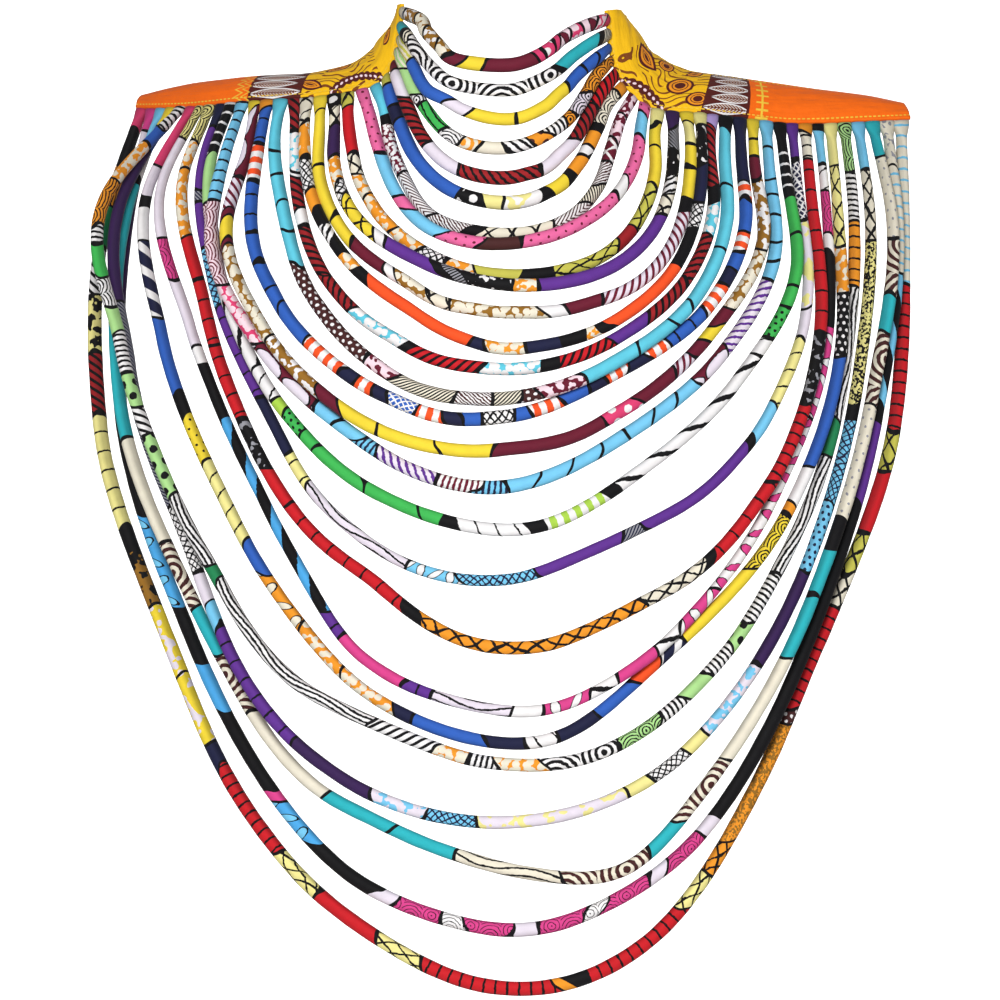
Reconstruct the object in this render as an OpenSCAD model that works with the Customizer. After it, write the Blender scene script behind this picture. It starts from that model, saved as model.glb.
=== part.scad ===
// Multi-strand fabric necklace, shown as it hangs when worn.
// Millimetres. Z is up, the front faces -Y, and +X is the picture's right.
// The origin is at the centre of the neck opening, at the height of the shoulder line.

/* [Show] */
// The piece to draw: all, or one name from the list of pieces

/* [Cords] */
// Thickness of every cord, as a share of the thickness in its row
cord_fullness = 1; // [0.8:0.05:1]
// Distance between the rings of a long cord's tube
ring_step = 25; // [18:1:40]
// How much wider than round a cord lies where it is sewn in, easing off towards its lowest point
root_spread = 1.15; // [1:0.05:1.3]
// The same for the cords that are gathered into the collar
collar_spread = 0.95; // [0.8:0.05:1.2]
// Share of its thickness that a cord keeps from front to back where it is sewn in
pinch = 0.55; // [0.4:0.05:1]
// Length over which a pinched end swells to its full thickness
pinch_length = 22; // [4:1:40]
// Length over which an end turns from lying flat along the seam to square to the cord
turn_length = 15; // [5:1:24]
// Share of its length over which a cord grows from its sewn to its free thickness
free_share = 0.3; // [0.1:0.05:0.45]
// How far a cord's bow reaches on either side, in hundredths of its length
bow_reach = 6; // [4:1:9]
// How far forward the throat lies from the middle of the neck
throat_depth = 64; // [55:1:75]
// How much further forward the chest lies than the throat
chest_rise = 68; // [40:1:90]
// Drop from the throat to the fullest part of the chest
chest_drop = 230; // [150:10:300]

/* [Shoulder bands] */
// Thickness of the padded cloth of a band
band_thick = 3; // [2:0.5:5]
// How far the middle of a band stands up between its two edges
band_arch = 4; // [0:0.5:8]
// Length of the seam between the collar tip and the first cord
seam_start = 1; // [0:0.5:10]
// Length of the seam between the last cord and the band's outer end
seam_end = 2; // [0:0.5:20]

/* [Neck strap] */
// Height of the strap that runs round the back of the neck
strap_high = 7; // [5:0.5:12]
// Thickness of the strap
strap_thick = 2.2; // [1.5:0.1:4]
// How much higher the strap sits at the nape than the first cord at the throat
strap_lift = 4; // [0:1:20]
// How far back the nape lies from the middle of the neck
nape_depth = 65; // [55:1:80]
// Width of the plain fastening at the centre of the back
clasp_wide = 15; // [8:1:30]
// Gap between pieces that are sewn or clipped together
seat_gap = 0.3; // [0.2:0.05:1]

/* [Hidden] */

// Sections of the left band, from the collar tip to the outer end.
// Columns: across, back and up of the front edge, then of the back edge.
left_sections = [
    [-61.5, -6, 48, -63, 6, 47],
    [-62, -10, 38.5, -65, 5, 40],
    [-63.5, -15, 28, -68, 5, 34.5],
    [-66, -20, 16, -72, 4, 30],
    [-70, -25, 7, -76, 4, 25.5],
    [-77, -28, 0, -80, 3, 20],
    [-88, -30, -4, -91, 2, 12],
    [-104, -31, -6.5, -106, 1, 7.5],
    [-120, -30, -8.5, -120, 2, 5],
    [-140, -22, -9.5, -139, 6, 4.5],
    [-160, -10, -10.5, -157, 15, 3.5],
    [-178, 4, -12, -174, 27, 2],
    [-194, 20, -13, -189, 41, 0.5],
    [-210, 36, -13, -205, 56, -2.5],
    [-224, 53, -12.5, -219, 70, -6]
];

// Sections of the right band, in the same columns.
right_sections = [
    [62, -8, 44, 70, 4, 44.5],
    [63, -11, 34, 76, 6, 37],
    [64, -15, 22.5, 82, 6, 29.5],
    [66.5, -19, 11.5, 88, 6, 20],
    [71, -23, 1.5, 93, 5, 16.5],
    [78, -27, -6.5, 100, 5, 12],
    [87, -30, -13.5, 106, 4, 9.5],
    [99, -31, -16.5, 113, 3, 7],
    [115, -30, -17.5, 122, 3, 5.5],
    [132, -25, -19, 135, 4, 4],
    [150, -17, -21, 149, 9, 2],
    [170, -9, -23, 168, 16, -0.5],
    [190, -2, -23, 186, 21, -3],
    [210, 5, -22, 203, 26, -5],
    [229, 11, -21, 222, 31, -7.5],
    [247, 18, -20, 242, 35, -11.5]
];

// One row for each cord, from the throat down.
// Columns: thickness where it is sewn in, then the place of the lowest point across and up,
// then how far across the left side hangs when it has come down
// 12, 36, 64 and 88 hundredths of its fall, then the same for the right side,
// then its thickness once it hangs free.
cords = [
    [8, -2, 9, -52, -47, -39, -31, 52, 38, 28, 16, 8.6],
    [8, -1, -6, -59, -53, -44, -32, 55, 43, 32, 17, 7.9],
    [6.5, 1, -23.5, -59, -54, -46, -25, 57, 45, 35, 20, 7.8],
    [7, -4, -41, -60.5, -55, -45, -31, 58, 50, 40, 22, 8],
    [8, -2, -59, -64, -58, -49, -33, 61, 52, 42, 24, 8.4],
    [7.5, 1, -74, -69, -63, -53, -34, 64, 56, 46, 29, 8.6],
    [7, 1, -93, -73, -69, -59, -43, 72, 65, 57, 39, 8],
    [7, -5, -99, -82, -76, -66, -47, 83, 80, 68, 41, 8],
    [7, 7, -118, -94, -90, -77, -46, 91, 91, 82, 59, 8],
    [7, 13, -124, -102, -102, -89, -48, 102, 101, 92, 67, 8],
    [6.8, 4, -140, -111, -111, -95, -53, 112, 111, 102, 75, 7.8],
    [7, 7, -161, -120, -117, -95, -48, 119, 117.5, 104, 68, 7.6],
    [6.5, 1, -174, -126, -124, -109, -67, 124.5, 126, 110, 67, 7.8],
    [7.8, -10, -192, -138, -133, -116, -78, 133, 134, 115, 63, 8.4],
    [7.5, -12, -203, -147, -152, -135, -89, 143, 145, 121, 57, 8.4],
    [7, -20, -222, -154, -167, -146, -98, 151, 156, 125, 71, 8.2],
    [7.5, -12, -245, -167, -176, -145, -84, 160, 163, 130, 64, 8.4],
    [7, 4, -270, -176, -173, -146, -89, 170, 176, 139, 73, 7.8],
    [6.5, -11, -300, -182, -176, -143, -95, 177, 183, 160, 84, 7],
    [7.5, 2, -341, -193, -181, -149, -76, 185, 191, 168, 100, 7.9],
    [6.2, 10, -379, -206, -189, -146, -96, 194, 195, 161, 97, 7],
    [7.2, 7, -397, -214, -206, -164, -101, 201, 203, 168, 87, 7.7],
    [7.5, 11, -411, -237, -231, -187, -119, 211, 207, 177, 113, 8],
    [7.2, 7, -444, -230, -226, -186, -132, 221, 214, 181, 117, 7.8],
    [7.8, 38, -479, -227, -233, -187, -109, 234, 222, 183, 119, 8.1],
    [8, 1, -510, -227, -232, -189, -119, 238, 225, 183, 117, 8.4],
    [8.3, 10, -543, -241, -244, -195, -120, 242, 235, 181, 119, 8.8]
];

// How far each cord lies in front of the plain line of the body.
// Columns: on the left side, at the lowest point, on the right side.
cord_layers = [
    [10, 0, 5],
    [10, 0, 5],
    [9.4, 0, 4],
    [8, 0, 3],
    [6.5, 0, 2],
    [2.5, 0, 0],
    [0, 0, 0],
    [0, 9, 0],
    [0, 0, 0],
    [0, 9, 0],
    [1, 0, 4],
    [3, 0, 5],
    [0, 0, 0],
    [0, 5, 0],
    [0, 0, 0],
    [0, 0, 0],
    [3, 0, 0],
    [0, 0, 0],
    [0, 0, 0],
    [0, 0, 2],
    [0, 4, 0],
    [0, 0, 4],
    [18, 0, -3],
    [9.3, 0, 0],
    [3.7, 0, 10.5],
    [1, 0, 5],
    [-2, 0, -1]
];

// Where a cord bows out of its smooth line.
// Columns: the cord's number, the place in hundredths of its length, and how far down or out.
cord_bows = [
    [3, 34, -1.2], [3, 72, -1.2],
    [5, 63, 1.5],
    [6, 67, 1],
    [9, 16, 1],
    [11, 40, 1.8], [11, 57, 1.2],
    [12, 41, 1], [12, 49, 1],
    [13, 32, 1], [13, 42, 1.3],
    [14, 22, 1.4], [14, 42, 1.2],
    [15, 17, 1.8], [15, 46, 2],
    [16, 51, 1], [16, 58, 2.6],
    [17, 47, -1],
    [18, 36, 1.2], [18, 56, -1],
    [19, 33, 2.2], [19, 57, -2.6], [19, 67, 3.6], [19, 78, -3],
    [20, 24, -2.4], [20, 34, 3.8], [20, 48, -1.2], [20, 58, -2.6], [20, 66, 3.2],
    [21, 14, 2.4], [21, 24, 1.2], [21, 35, -3.2], [21, 49, -1.4], [21, 57, -2.4],
    [22, 8, -2], [22, 14, 1.8], [22, 36, -1.4],
    [23, 27, 2.6], [23, 36, 3.4], [23, 45, -4.8], [23, 51, -1.5], [23, 73, -3.2], [23, 86, -2],
    [24, 24, -2.4], [24, 38, -2.8], [24, 47, 2], [24, 56, -1.8],
    [25, 37, 4], [25, 45, -3.4], [25, 51, -3],
    [26, 18, -1.4], [26, 48, -3.2], [26, 56, -2.2],
    [27, 14, 4], [27, 22, -3.6], [27, 33, 3.2], [27, 44, -3.2], [27, 64, -2.6], [27, 80, -2.4]
];

// Main colour of each cord's print, from the throat down.
cord_colours = [
    "firebrick", "dimgray", "gold", "darkorange", "darkred", "royalblue", "rosybrown",
    "hotpink", "olive", "indigo", "saddlebrown", "tomato", "brown", "turquoise",
    "steelblue", "goldenrod", "skyblue", "limegreen", "purple", "crimson", "deeppink",
    "mediumblue", "orange", "thistle", "darkcyan", "palevioletred", "red"
];

count = len(cords);
band_half = band_thick / 2;

// Places on the way from a cord's left end, 0, past its lowest point, 1, to its right end, 2,
// where it has come down the hundredths of its fall that the table's columns name.
cord_knots = [0, 0.062, 0.2, 0.4, 0.654, 1, 1.346, 1.6, 1.8, 1.938, 2];

function mix(a, b, u) = a + (b - a) * u;
function eased(u) = let (v = min(1, max(0, u))) v * v * (3 - 2 * v);
function unit(v) = v / max(norm(v), 0.0001);
function total(list, i = 0) = i >= len(list) ? 0 : list[i] + total(list, i + 1);

// The interval of a rising list that a value falls in.
function span(knots, s, i = 0) =
    i >= len(knots) - 2 || s < knots[i + 1] ? i : span(knots, s, i + 1);

// The slope of a smooth line through values at knots, at knot i.
function slope(knots, values, i) =
    let (
        last = len(knots) - 1,
        a = max(0, i - 1),
        b = min(last, i + 1),
        before = i == 0 ? 0 : (values[i] - values[a]) / (knots[i] - knots[a]),
        after = i == last ? 0 : (values[b] - values[i]) / (knots[b] - knots[i])
    )
    i == 0 ? after
    : i == last ? before
    : mix(before, after, (knots[i] - knots[a]) / (knots[b] - knots[a]));

// A smooth line through values at knots.
function through(knots, values, s) =
    let (
        i = span(knots, s),
        step = knots[i + 1] - knots[i],
        u = (s - knots[i]) / step
    )
    values[i] * (1 + 2 * u) * (1 - u) * (1 - u)
    + slope(knots, values, i) * step * u * (1 - u) * (1 - u)
    + values[i + 1] * u * u * (3 - 2 * u)
    + slope(knots, values, i + 1) * step * u * u * (u - 1);

// Lengths from the start of a line of points to each of its points.
function lengths(points, i = 0, so_far = 0) =
    i >= len(points) ? []
    : concat(
        [so_far + (i == 0 ? 0 : norm(points[i] - points[i - 1]))],
        lengths(points, i + 1, so_far + (i == 0 ? 0 : norm(points[i] - points[i - 1])))
    );

// The point at a distance along a line of points.
function along(points, measured, distance) =
    let (i = span(measured, distance))
    mix(
        points[i],
        points[i + 1],
        (distance - measured[i]) / max(0.0001, measured[i + 1] - measured[i])
    );

// Band edges, smoothed between the sections of the table.
function edge_point(sections, column, place) =
    let (rows = [for (i = [0:len(sections) - 1]) i])
    [for (k = [column:column + 2]) through(rows, [for (row = sections) row[k]], place)];

function edge_line(sections, column) =
    [for (place = [0:0.25:len(sections) - 1]) edge_point(sections, column, place)];

left_edge = edge_line(left_sections, 0);
right_edge = edge_line(right_sections, 0);
left_measured = lengths(left_edge);
right_measured = lengths(right_edge);

function thickness(k) = cords[k][0] * cord_fullness;
function full(k) = cords[k][11] / cords[k][0];
function spread(k) = mix(collar_spread, root_spread, eased((k - 5) / 4));
function root_room(k) = thickness(k) * root_spread;
room_sum = total([for (k = [0:count - 1]) root_room(k)]);

// Where each cord is sewn in, as a distance along the band's front edge.
function seam_spare(measured) =
    (measured[len(measured) - 1] - seam_start - seam_end - room_sum) / (count - 1);
function seam_place(measured, k) =
    seam_start + total([for (i = [0:k]) root_room(i)]) - root_room(k) / 2
    + k * seam_spare(measured);

// The seam's points, and the way that the seam runs there.
function seam_point(edge, measured, k, shift = 0) =
    along(edge, measured, seam_place(measured, k) + shift);
function seam_way(edge, measured, k) =
    unit(seam_point(edge, measured, k, 0.5) - seam_point(edge, measured, k, -0.5));

left_seam = [for (k = [0:count - 1]) seam_point(left_edge, left_measured, k)];
right_seam = [for (k = [0:count - 1]) seam_point(right_edge, right_measured, k)];
left_way = [for (k = [0:count - 1]) seam_way(left_edge, left_measured, k)];
right_way = [for (k = [0:count - 1]) seam_way(right_edge, right_measured, k)];

// The part of a direction that is square to a way.
function square_to(direction, way) = direction - (direction * way) * way;

// How far forward a cord's lowest point lies, and how soon the cord swings forward to it.
function low_forward(k) =
    throat_depth + chest_rise * eased((9 - cords[k][2]) / chest_drop) + cord_layers[k][1];
function swing(k) = min(1, 0.72 + 0.05 * k);

// How far a cord lies in front of the plain line of the body.
function layer(k, s) =
    let (
        t = min(s, 2 - s),
        side = cord_layers[k][s < 1 ? 0 : 2]
    )
    side * eased(t / 0.08) * (1 - eased((t - 0.4) / 0.6));

// A cord between two ends, at a place from 0 to 2 on its way.
function cord_point(k, left, right, s) =
    let (
        row = cords[k],
        t = min(s, 2 - s),
        end = s < 1 ? left : right,
        xs = [
            left[0], row[3], row[4], row[5], row[6], row[1],
            row[10], row[9], row[8], row[7], right[0]
        ],
        forward = mix(-end[1], low_forward(k), sin(90 * pow(t, swing(k)))) + layer(k, s)
    )
    [
        through(cord_knots, xs, s),
        -forward,
        row[2] + (end[2] - row[2]) * (1 - t) * (1 - t)
    ];

// The end of a cord, seated against the rounded edge of its band.
function seated(k, s) =
    let (
        l = left_seam[k],
        r = right_seam[k],
        from = cord_point(k, l, r, s),
        going = unit(cord_point(k, l, r, s < 1 ? 0.02 : 1.98) - from),
        away = norm(square_to(going, s < 1 ? left_way[k] : right_way[k]))
    )
    from + going * (band_half + seat_gap) / max(0.5, away);

// How far a cord bows at a place in hundredths of its length.
function bow(k, place) =
    total([
        for (row = cord_bows)
            let (u = (place - row[1]) / bow_reach)
            row[0] == k + 1 && abs(u) < 1 ? row[2] * (1 - u * u) * (1 - u * u) : 0
    ]);

// The middle line of a cord: finely, then in even steps, then with its bows.
function fine_line(k) =
    let (l = seated(k, 0), r = seated(k, 2))
    [for (i = [0:80]) cord_point(k, l, r, i / 40)];

function even_line(points, step) =
    let (
        measured = lengths(points),
        whole = measured[len(measured) - 1],
        n = max(14, round(whole / step))
    )
    [for (i = [0:n]) along(points, measured, whole * i / n)];

function bowed_line(k, points) =
    let (last = len(points) - 1)
    [for (i = [0:last])
        let (
            forward = unit(points[min(last, i + 1)] - points[max(0, i - 1)]),
            out = unit(square_to([points[i][0], points[i][1] - 20, 0], forward))
        )
        points[i] + cross(forward, out) * bow(k, 100 * i / last)];

// An oval ring round a point, with a half width and a half depth.
function ring(centre, across, out, wide, deep, sides) =
    [for (i = [0:sides - 1])
        centre + across * wide * cos(360 * i / sides) + out * deep * sin(360 * i / sides)];

// A cord's rings, square to its line but turned flat against the seam at its ends.
function cord_rings(k) =
    let (
        line = bowed_line(k, even_line(fine_line(k), ring_step)),
        measured = lengths(line),
        last = len(line) - 1,
        half = thickness(k) / 2
    )
    [for (i = [0:last])
        let (
            forward = unit(line[min(last, i + 1)] - line[max(0, i - 1)]),
            out = unit(square_to([line[i][0], line[i][1] - 20, 0], forward)),
            across = cross(forward, out),
            way = 2 * i < last ? left_way[k] : right_way[k],
            face = cross(way, unit(square_to(forward, way))),
            from_end = min(measured[i], measured[last] - measured[i]),
            turn = 1 - eased(from_end / turn_length),
            free = eased(from_end / (free_share * measured[last])),
            wide = mix(spread(k), full(k), free),
            deep = mix(min(1, 2 - spread(k)), full(k), free)
                * mix(pinch, 1, eased(from_end / pinch_length))
        )
        ring(
            line[i],
            unit(mix(across, way * sign(way * across), turn)),
            unit(mix(out, face * sign(face * out), turn)),
            half * wide,
            half * deep,
            8
        )];

// A closed solid through rings of equally many points.
module skin(rings) {
    n = len(rings[0]);
    last = len(rings) - 1;
    sides = [for (j = [0:last - 1], i = [0:n - 1])
        let (a = j * n + i, b = j * n + (i + 1) % n)
        each [[a, a + n, b + n], [a, b + n, b]]];
    start = [for (i = [1:n - 2]) [0, i, i + 1]];
    finish = [for (i = [1:n - 2]) [last * n, last * n + i + 1, last * n + i]];
    polyhedron(points = [for (r = rings) each r], faces = concat(sides, start, finish));
}

// One cord, closed at both seams.
module cord(k) {
    color(cord_colours[k])
        skin(cord_rings(k));
}

// A section of a band: an arched strip with rounded edges.
function band_ring(sections, place) =
    let (
        last = len(sections) - 1,
        a = edge_point(sections, 0, place),
        b = edge_point(sections, 3, place),
        ahead = edge_point(sections, 0, min(last, place + 0.3)),
        behind = edge_point(sections, 0, max(0, place - 0.3)),
        down = unit(a - b),
        up = unit(cross(down, ahead - behind)) * (a[0] < 0 ? -1 : 1),
        arch = band_arch * eased(norm(a - b) / 36),
        shares = [0, 0.25, 0.5, 0.75, 1],
        middle = [for (u = shares) mix(a, b, u) + up * arch * 4 * u * (1 - u)]
    )
    concat(
        [a + down * band_half],
        [for (i = [0:4]) middle[i] + up * band_half * (i == 0 || i == 4 ? 0.8 : 1)],
        [b - down * band_half * 0.6],
        [for (i = [4:-1:0]) middle[i] - up * band_half * (i == 0 || i == 4 ? 0.8 : 1)]
    );

module band(sections, turned) {
    rings = [for (place = [0:0.5:len(sections) - 1]) band_ring(sections, place)];
    color("orange")
        skin(turned ? [for (r = rings) [for (i = [len(r) - 1:-1:0]) r[i]]] : rings);
}

// Height of the first cord at a place across, which the neck strap follows.
first_cord = [for (p = fine_line(0)) [p[0], p[2]]];
first_rising = [for (i = [0:4:len(first_cord) - 1]) first_cord[i]];

// The strap's middle line, from behind the collar tip round to the fastening.
function strap_point(side, across, back, turn) =
    [
        side * across * cos(turn),
        back + (nape_depth - back) * sin(turn),
        lookup(side * across * cos(turn), first_rising) + strap_lift * sin(turn)
    ];

module strap(side, across, back) {
    last_turn = acos((clasp_wide / 2 + seat_gap) / across);
    line = [for (i = [0:12]) strap_point(side, across, back, last_turn * i / 12)];
    rings = [for (i = [0:12])
        let (
            forward = i == 0 ? [0, 1, 0]
                : i == 12 ? [-side, 0, 0]
                : unit(line[i + 1] - line[i - 1]),
            out = unit(square_to([line[i][0], line[i][1] - 8, 0], forward)),
            up = cross(forward, out),
            high = strap_high / 2,
            deep = strap_thick / 2
        )
        [for (corner = [
            [1, -0.5], [1, 0.5], [0.85, 1], [-0.85, 1],
            [-1, 0.5], [-1, -0.5], [-0.85, -1], [0.85, -1]
        ]) line[i] + up * high * corner[0] + out * deep * corner[1]]];
    color("goldenrod")
        skin(rings);
}

module left_shoulder_band() {
    band(left_sections, false);
}

module right_shoulder_band() {
    band(right_sections, true);
}

module left_neck_strap() {
    strap(-1, 64.5, 6.9);
}

module right_neck_strap() {
    strap(1, 73.5, 7.2);
}

// The hidden fastening: a plain flat barrel across the centre of the back.
module back_clasp() {
    height = lookup(0, first_rising) + strap_lift;
    color("dimgray")
        translate([0, nape_depth, height])
            rotate([0, 90, 0])
                linear_extrude(clasp_wide, center = true)
                    offset(r = 1.2, $fn = 16)
                        square([strap_high - 2, strap_thick + 0.2], center = true);
}

module strand_01() cord(0);
module strand_02() cord(1);
module strand_03() cord(2);
module strand_04() cord(3);
module strand_05() cord(4);
module strand_06() cord(5);
module strand_07() cord(6);
module strand_08() cord(7);
module strand_09() cord(8);
module strand_10() cord(9);
module strand_11() cord(10);
module strand_12() cord(11);
module strand_13() cord(12);
module strand_14() cord(13);
module strand_15() cord(14);
module strand_16() cord(15);
module strand_17() cord(16);
module strand_18() cord(17);
module strand_19() cord(18);
module strand_20() cord(19);
module strand_21() cord(20);
module strand_22() cord(21);
module strand_23() cord(22);
module strand_24() cord(23);
module strand_25() cord(24);
module strand_26() cord(25);
module strand_27() cord(26);

left_shoulder_band();
right_shoulder_band();
left_neck_strap();
right_neck_strap();
back_clasp();
strand_01();
strand_02();
strand_03();
strand_04();
strand_05();
strand_06();
strand_07();
strand_08();
strand_09();
strand_10();
strand_11();
strand_12();
strand_13();
strand_14();
strand_15();
strand_16();
strand_17();
strand_18();
strand_19();
strand_20();
strand_21();
strand_22();
strand_23();
strand_24();
strand_25();
strand_26();
strand_27();
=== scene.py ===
# Multi-strand fabric necklace: the cloth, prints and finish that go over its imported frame.
# Tables are in millimetres, like the part they follow, and every mesh is made in metres.
import math
import random

import bpy
import numpy as np
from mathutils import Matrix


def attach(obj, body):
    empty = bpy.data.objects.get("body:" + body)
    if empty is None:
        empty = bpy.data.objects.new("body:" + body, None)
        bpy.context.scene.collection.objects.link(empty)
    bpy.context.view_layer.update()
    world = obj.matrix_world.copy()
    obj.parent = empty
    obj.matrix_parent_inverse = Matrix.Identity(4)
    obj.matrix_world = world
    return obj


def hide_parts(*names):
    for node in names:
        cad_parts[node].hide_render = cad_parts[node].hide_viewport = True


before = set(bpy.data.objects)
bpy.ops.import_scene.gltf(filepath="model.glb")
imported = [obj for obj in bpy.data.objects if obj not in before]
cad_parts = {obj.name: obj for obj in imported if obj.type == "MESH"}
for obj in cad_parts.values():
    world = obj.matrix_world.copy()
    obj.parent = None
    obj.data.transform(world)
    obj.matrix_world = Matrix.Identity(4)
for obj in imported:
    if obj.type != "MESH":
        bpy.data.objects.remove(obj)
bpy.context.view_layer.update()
bpy.ops.object.select_all(action="DESELECT")
print("frame loaded:", len(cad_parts), "solids")


# Camera, straight in front of the wearer's chest.
view = {
    "distance": 8.0,  # from the middle of the neck
    "wide": 0.6,  # what the picture takes in across
    "strandsForward": 0.07,  # where that width is measured, in front of the neck
    "across": -0.0024,
    "up": -0.252,
    "sensor": 36,
}

cameraData = bpy.data.cameras.new("pictureCamera")
cameraData.sensor_width = view["sensor"]
reach = view["distance"] - view["strandsForward"]
cameraData.lens = view["sensor"] * reach / view["wide"]
cameraData.clip_end = 50
camera = bpy.data.objects.new("pictureCamera", cameraData)
camera.location = (view["across"], -view["distance"], view["up"])
camera.rotation_euler = (math.radians(90), 0, 0)
bpy.context.scene.collection.objects.link(camera)
bpy.context.scene.camera = camera
print("camera placed")


# The measures of the part, as its own source gives them.
necklace = {
    "rootSpread": 1.15,
    "collarSpread": 0.95,
    "turnLength": 15,
    "bowReach": 6,
    "throatDepth": 64,
    "chestRise": 68,
    "chestDrop": 230,
    "bandThick": 3,
    "bandArch": 4,
    "seamStart": 1,
    "seamEnd": 2,
    "strapHigh": 7,
    "strapThick": 2.2,
    "strapLift": 4,
    "napeDepth": 65,
    "claspWide": 15,
    "seatGap": 0.3,
    "chestTop": 9,  # height at which the chest starts to rise forward
    "faceFrom": 20,  # how far back the point lies that the strands face away from
    "sag": 0.72,  # how fast a strand comes forward from its ends, more for each strand further down
    "sagMore": 0.05,
    "layerStart": 0.08,  # by this share of its fall a strand is in its own layer
    "layerEnd": 0.4,  # and from this share on it leaves it again
}
bandHalf = necklace["bandThick"] / 2

# Band sections from the collar tip out: across, back, up of the front edge, then of the back edge.
leftSections = [
    (-61.5, -6, 48, -63, 6, 47),
    (-62, -10, 38.5, -65, 5, 40),
    (-63.5, -15, 28, -68, 5, 34.5),
    (-66, -20, 16, -72, 4, 30),
    (-70, -25, 7, -76, 4, 25.5),
    (-77, -28, 0, -80, 3, 20),
    (-88, -30, -4, -91, 2, 12),
    (-104, -31, -6.5, -106, 1, 7.5),
    (-120, -30, -8.5, -120, 2, 5),
    (-140, -22, -9.5, -139, 6, 4.5),
    (-160, -10, -10.5, -157, 15, 3.5),
    (-178, 4, -12, -174, 27, 2),
    (-194, 20, -13, -189, 41, 0.5),
    (-210, 36, -13, -205, 56, -2.5),
    (-224, 53, -12.5, -219, 70, -6),
]
rightSections = [
    (62, -8, 44, 70, 4, 44.5),
    (63, -11, 34, 76, 6, 37),
    (64, -15, 22.5, 82, 6, 29.5),
    (66.5, -19, 11.5, 88, 6, 20),
    (71, -23, 1.5, 93, 5, 16.5),
    (78, -27, -6.5, 100, 5, 12),
    (87, -30, -13.5, 106, 4, 9.5),
    (99, -31, -16.5, 113, 3, 7),
    (115, -30, -17.5, 122, 3, 5.5),
    (132, -25, -19, 135, 4, 4),
    (150, -17, -21, 149, 9, 2),
    (170, -9, -23, 168, 16, -0.5),
    (190, -2, -23, 186, 21, -3),
    (210, 5, -22, 203, 26, -5),
    (229, 11, -21, 222, 31, -7.5),
    (247, 18, -20, 242, 35, -11.5),
]

# Strands from the throat down: thickness where it is sewn in, lowest point across and up,
# then how far across each side hangs at 12, 36, 64 and 88 hundredths of its fall,
# then the thickness once it hangs free.
strands = [
    (8, -2, 9, -52, -47, -39, -31, 52, 38, 28, 16, 8.6),
    (8, -1, -6, -59, -53, -44, -32, 55, 43, 32, 17, 7.9),
    (6.5, 1, -23.5, -59, -54, -46, -25, 57, 45, 35, 20, 7.8),
    (7, -4, -41, -60.5, -55, -45, -31, 58, 50, 40, 22, 8),
    (8, -2, -59, -64, -58, -49, -33, 61, 52, 42, 24, 8.4),
    (7.5, 1, -74, -69, -63, -53, -34, 64, 56, 46, 29, 8.6),
    (7, 1, -93, -73, -69, -59, -43, 72, 65, 57, 39, 8),
    (7, -5, -99, -82, -76, -66, -47, 83, 80, 68, 41, 8),
    (7, 7, -118, -94, -90, -77, -46, 91, 91, 82, 59, 8),
    (7, 13, -124, -102, -102, -89, -48, 102, 101, 92, 67, 8),
    (6.8, 4, -140, -111, -111, -95, -53, 112, 111, 102, 75, 7.8),
    (7, 7, -161, -120, -117, -95, -48, 119, 117.5, 104, 68, 7.6),
    (6.5, 1, -174, -126, -124, -109, -67, 124.5, 126, 110, 67, 7.8),
    (7.8, -10, -192, -138, -133, -116, -78, 133, 134, 115, 63, 8.4),
    (7.5, -12, -203, -147, -152, -135, -89, 143, 145, 121, 57, 8.4),
    (7, -20, -222, -154, -167, -146, -98, 151, 156, 125, 71, 8.2),
    (7.5, -12, -245, -167, -176, -145, -84, 160, 163, 130, 64, 8.4),
    (7, 4, -270, -176, -173, -146, -89, 170, 176, 139, 73, 7.8),
    (6.5, -11, -300, -182, -176, -143, -95, 177, 183, 160, 84, 7),
    (7.5, 2, -341, -193, -181, -149, -76, 185, 191, 168, 100, 7.9),
    (6.2, 10, -379, -206, -189, -146, -96, 194, 195, 161, 97, 7),
    (7.2, 7, -397, -214, -206, -164, -101, 201, 203, 168, 87, 7.7),
    (7.5, 11, -411, -237, -231, -187, -119, 211, 207, 177, 113, 8),
    (7.2, 7, -444, -230, -226, -186, -132, 221, 214, 181, 117, 7.8),
    (7.8, 38, -479, -227, -233, -187, -109, 234, 222, 183, 119, 8.1),
    (8, 1, -510, -227, -232, -189, -119, 238, 225, 183, 117, 8.4),
    (8.3, 10, -543, -241, -244, -195, -120, 242, 235, 181, 119, 8.8),
]

# How far each strand lies in front of the plain line of the body: left, lowest point, right.
strandLayers = [
    (10, 0, 5), (10, 0, 5), (9.4, 0, 4), (8, 0, 3), (6.5, 0, 2), (2.5, 0, 0), (0, 0, 0),
    (0, 9, 0), (0, 0, 0), (0, 9, 0), (1, 0, 4), (3, 0, 5), (0, 0, 0), (0, 5, 0),
    (0, 0, 0), (0, 0, 0), (3, 0, 0), (0, 0, 0), (0, 0, 0), (0, 0, 2), (0, 4, 0),
    (0, 0, 4), (18, 0, -3), (9.3, 0, 0), (3.7, 0, 10.5), (1, 0, 5), (-2, 0, -1),
]

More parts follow.
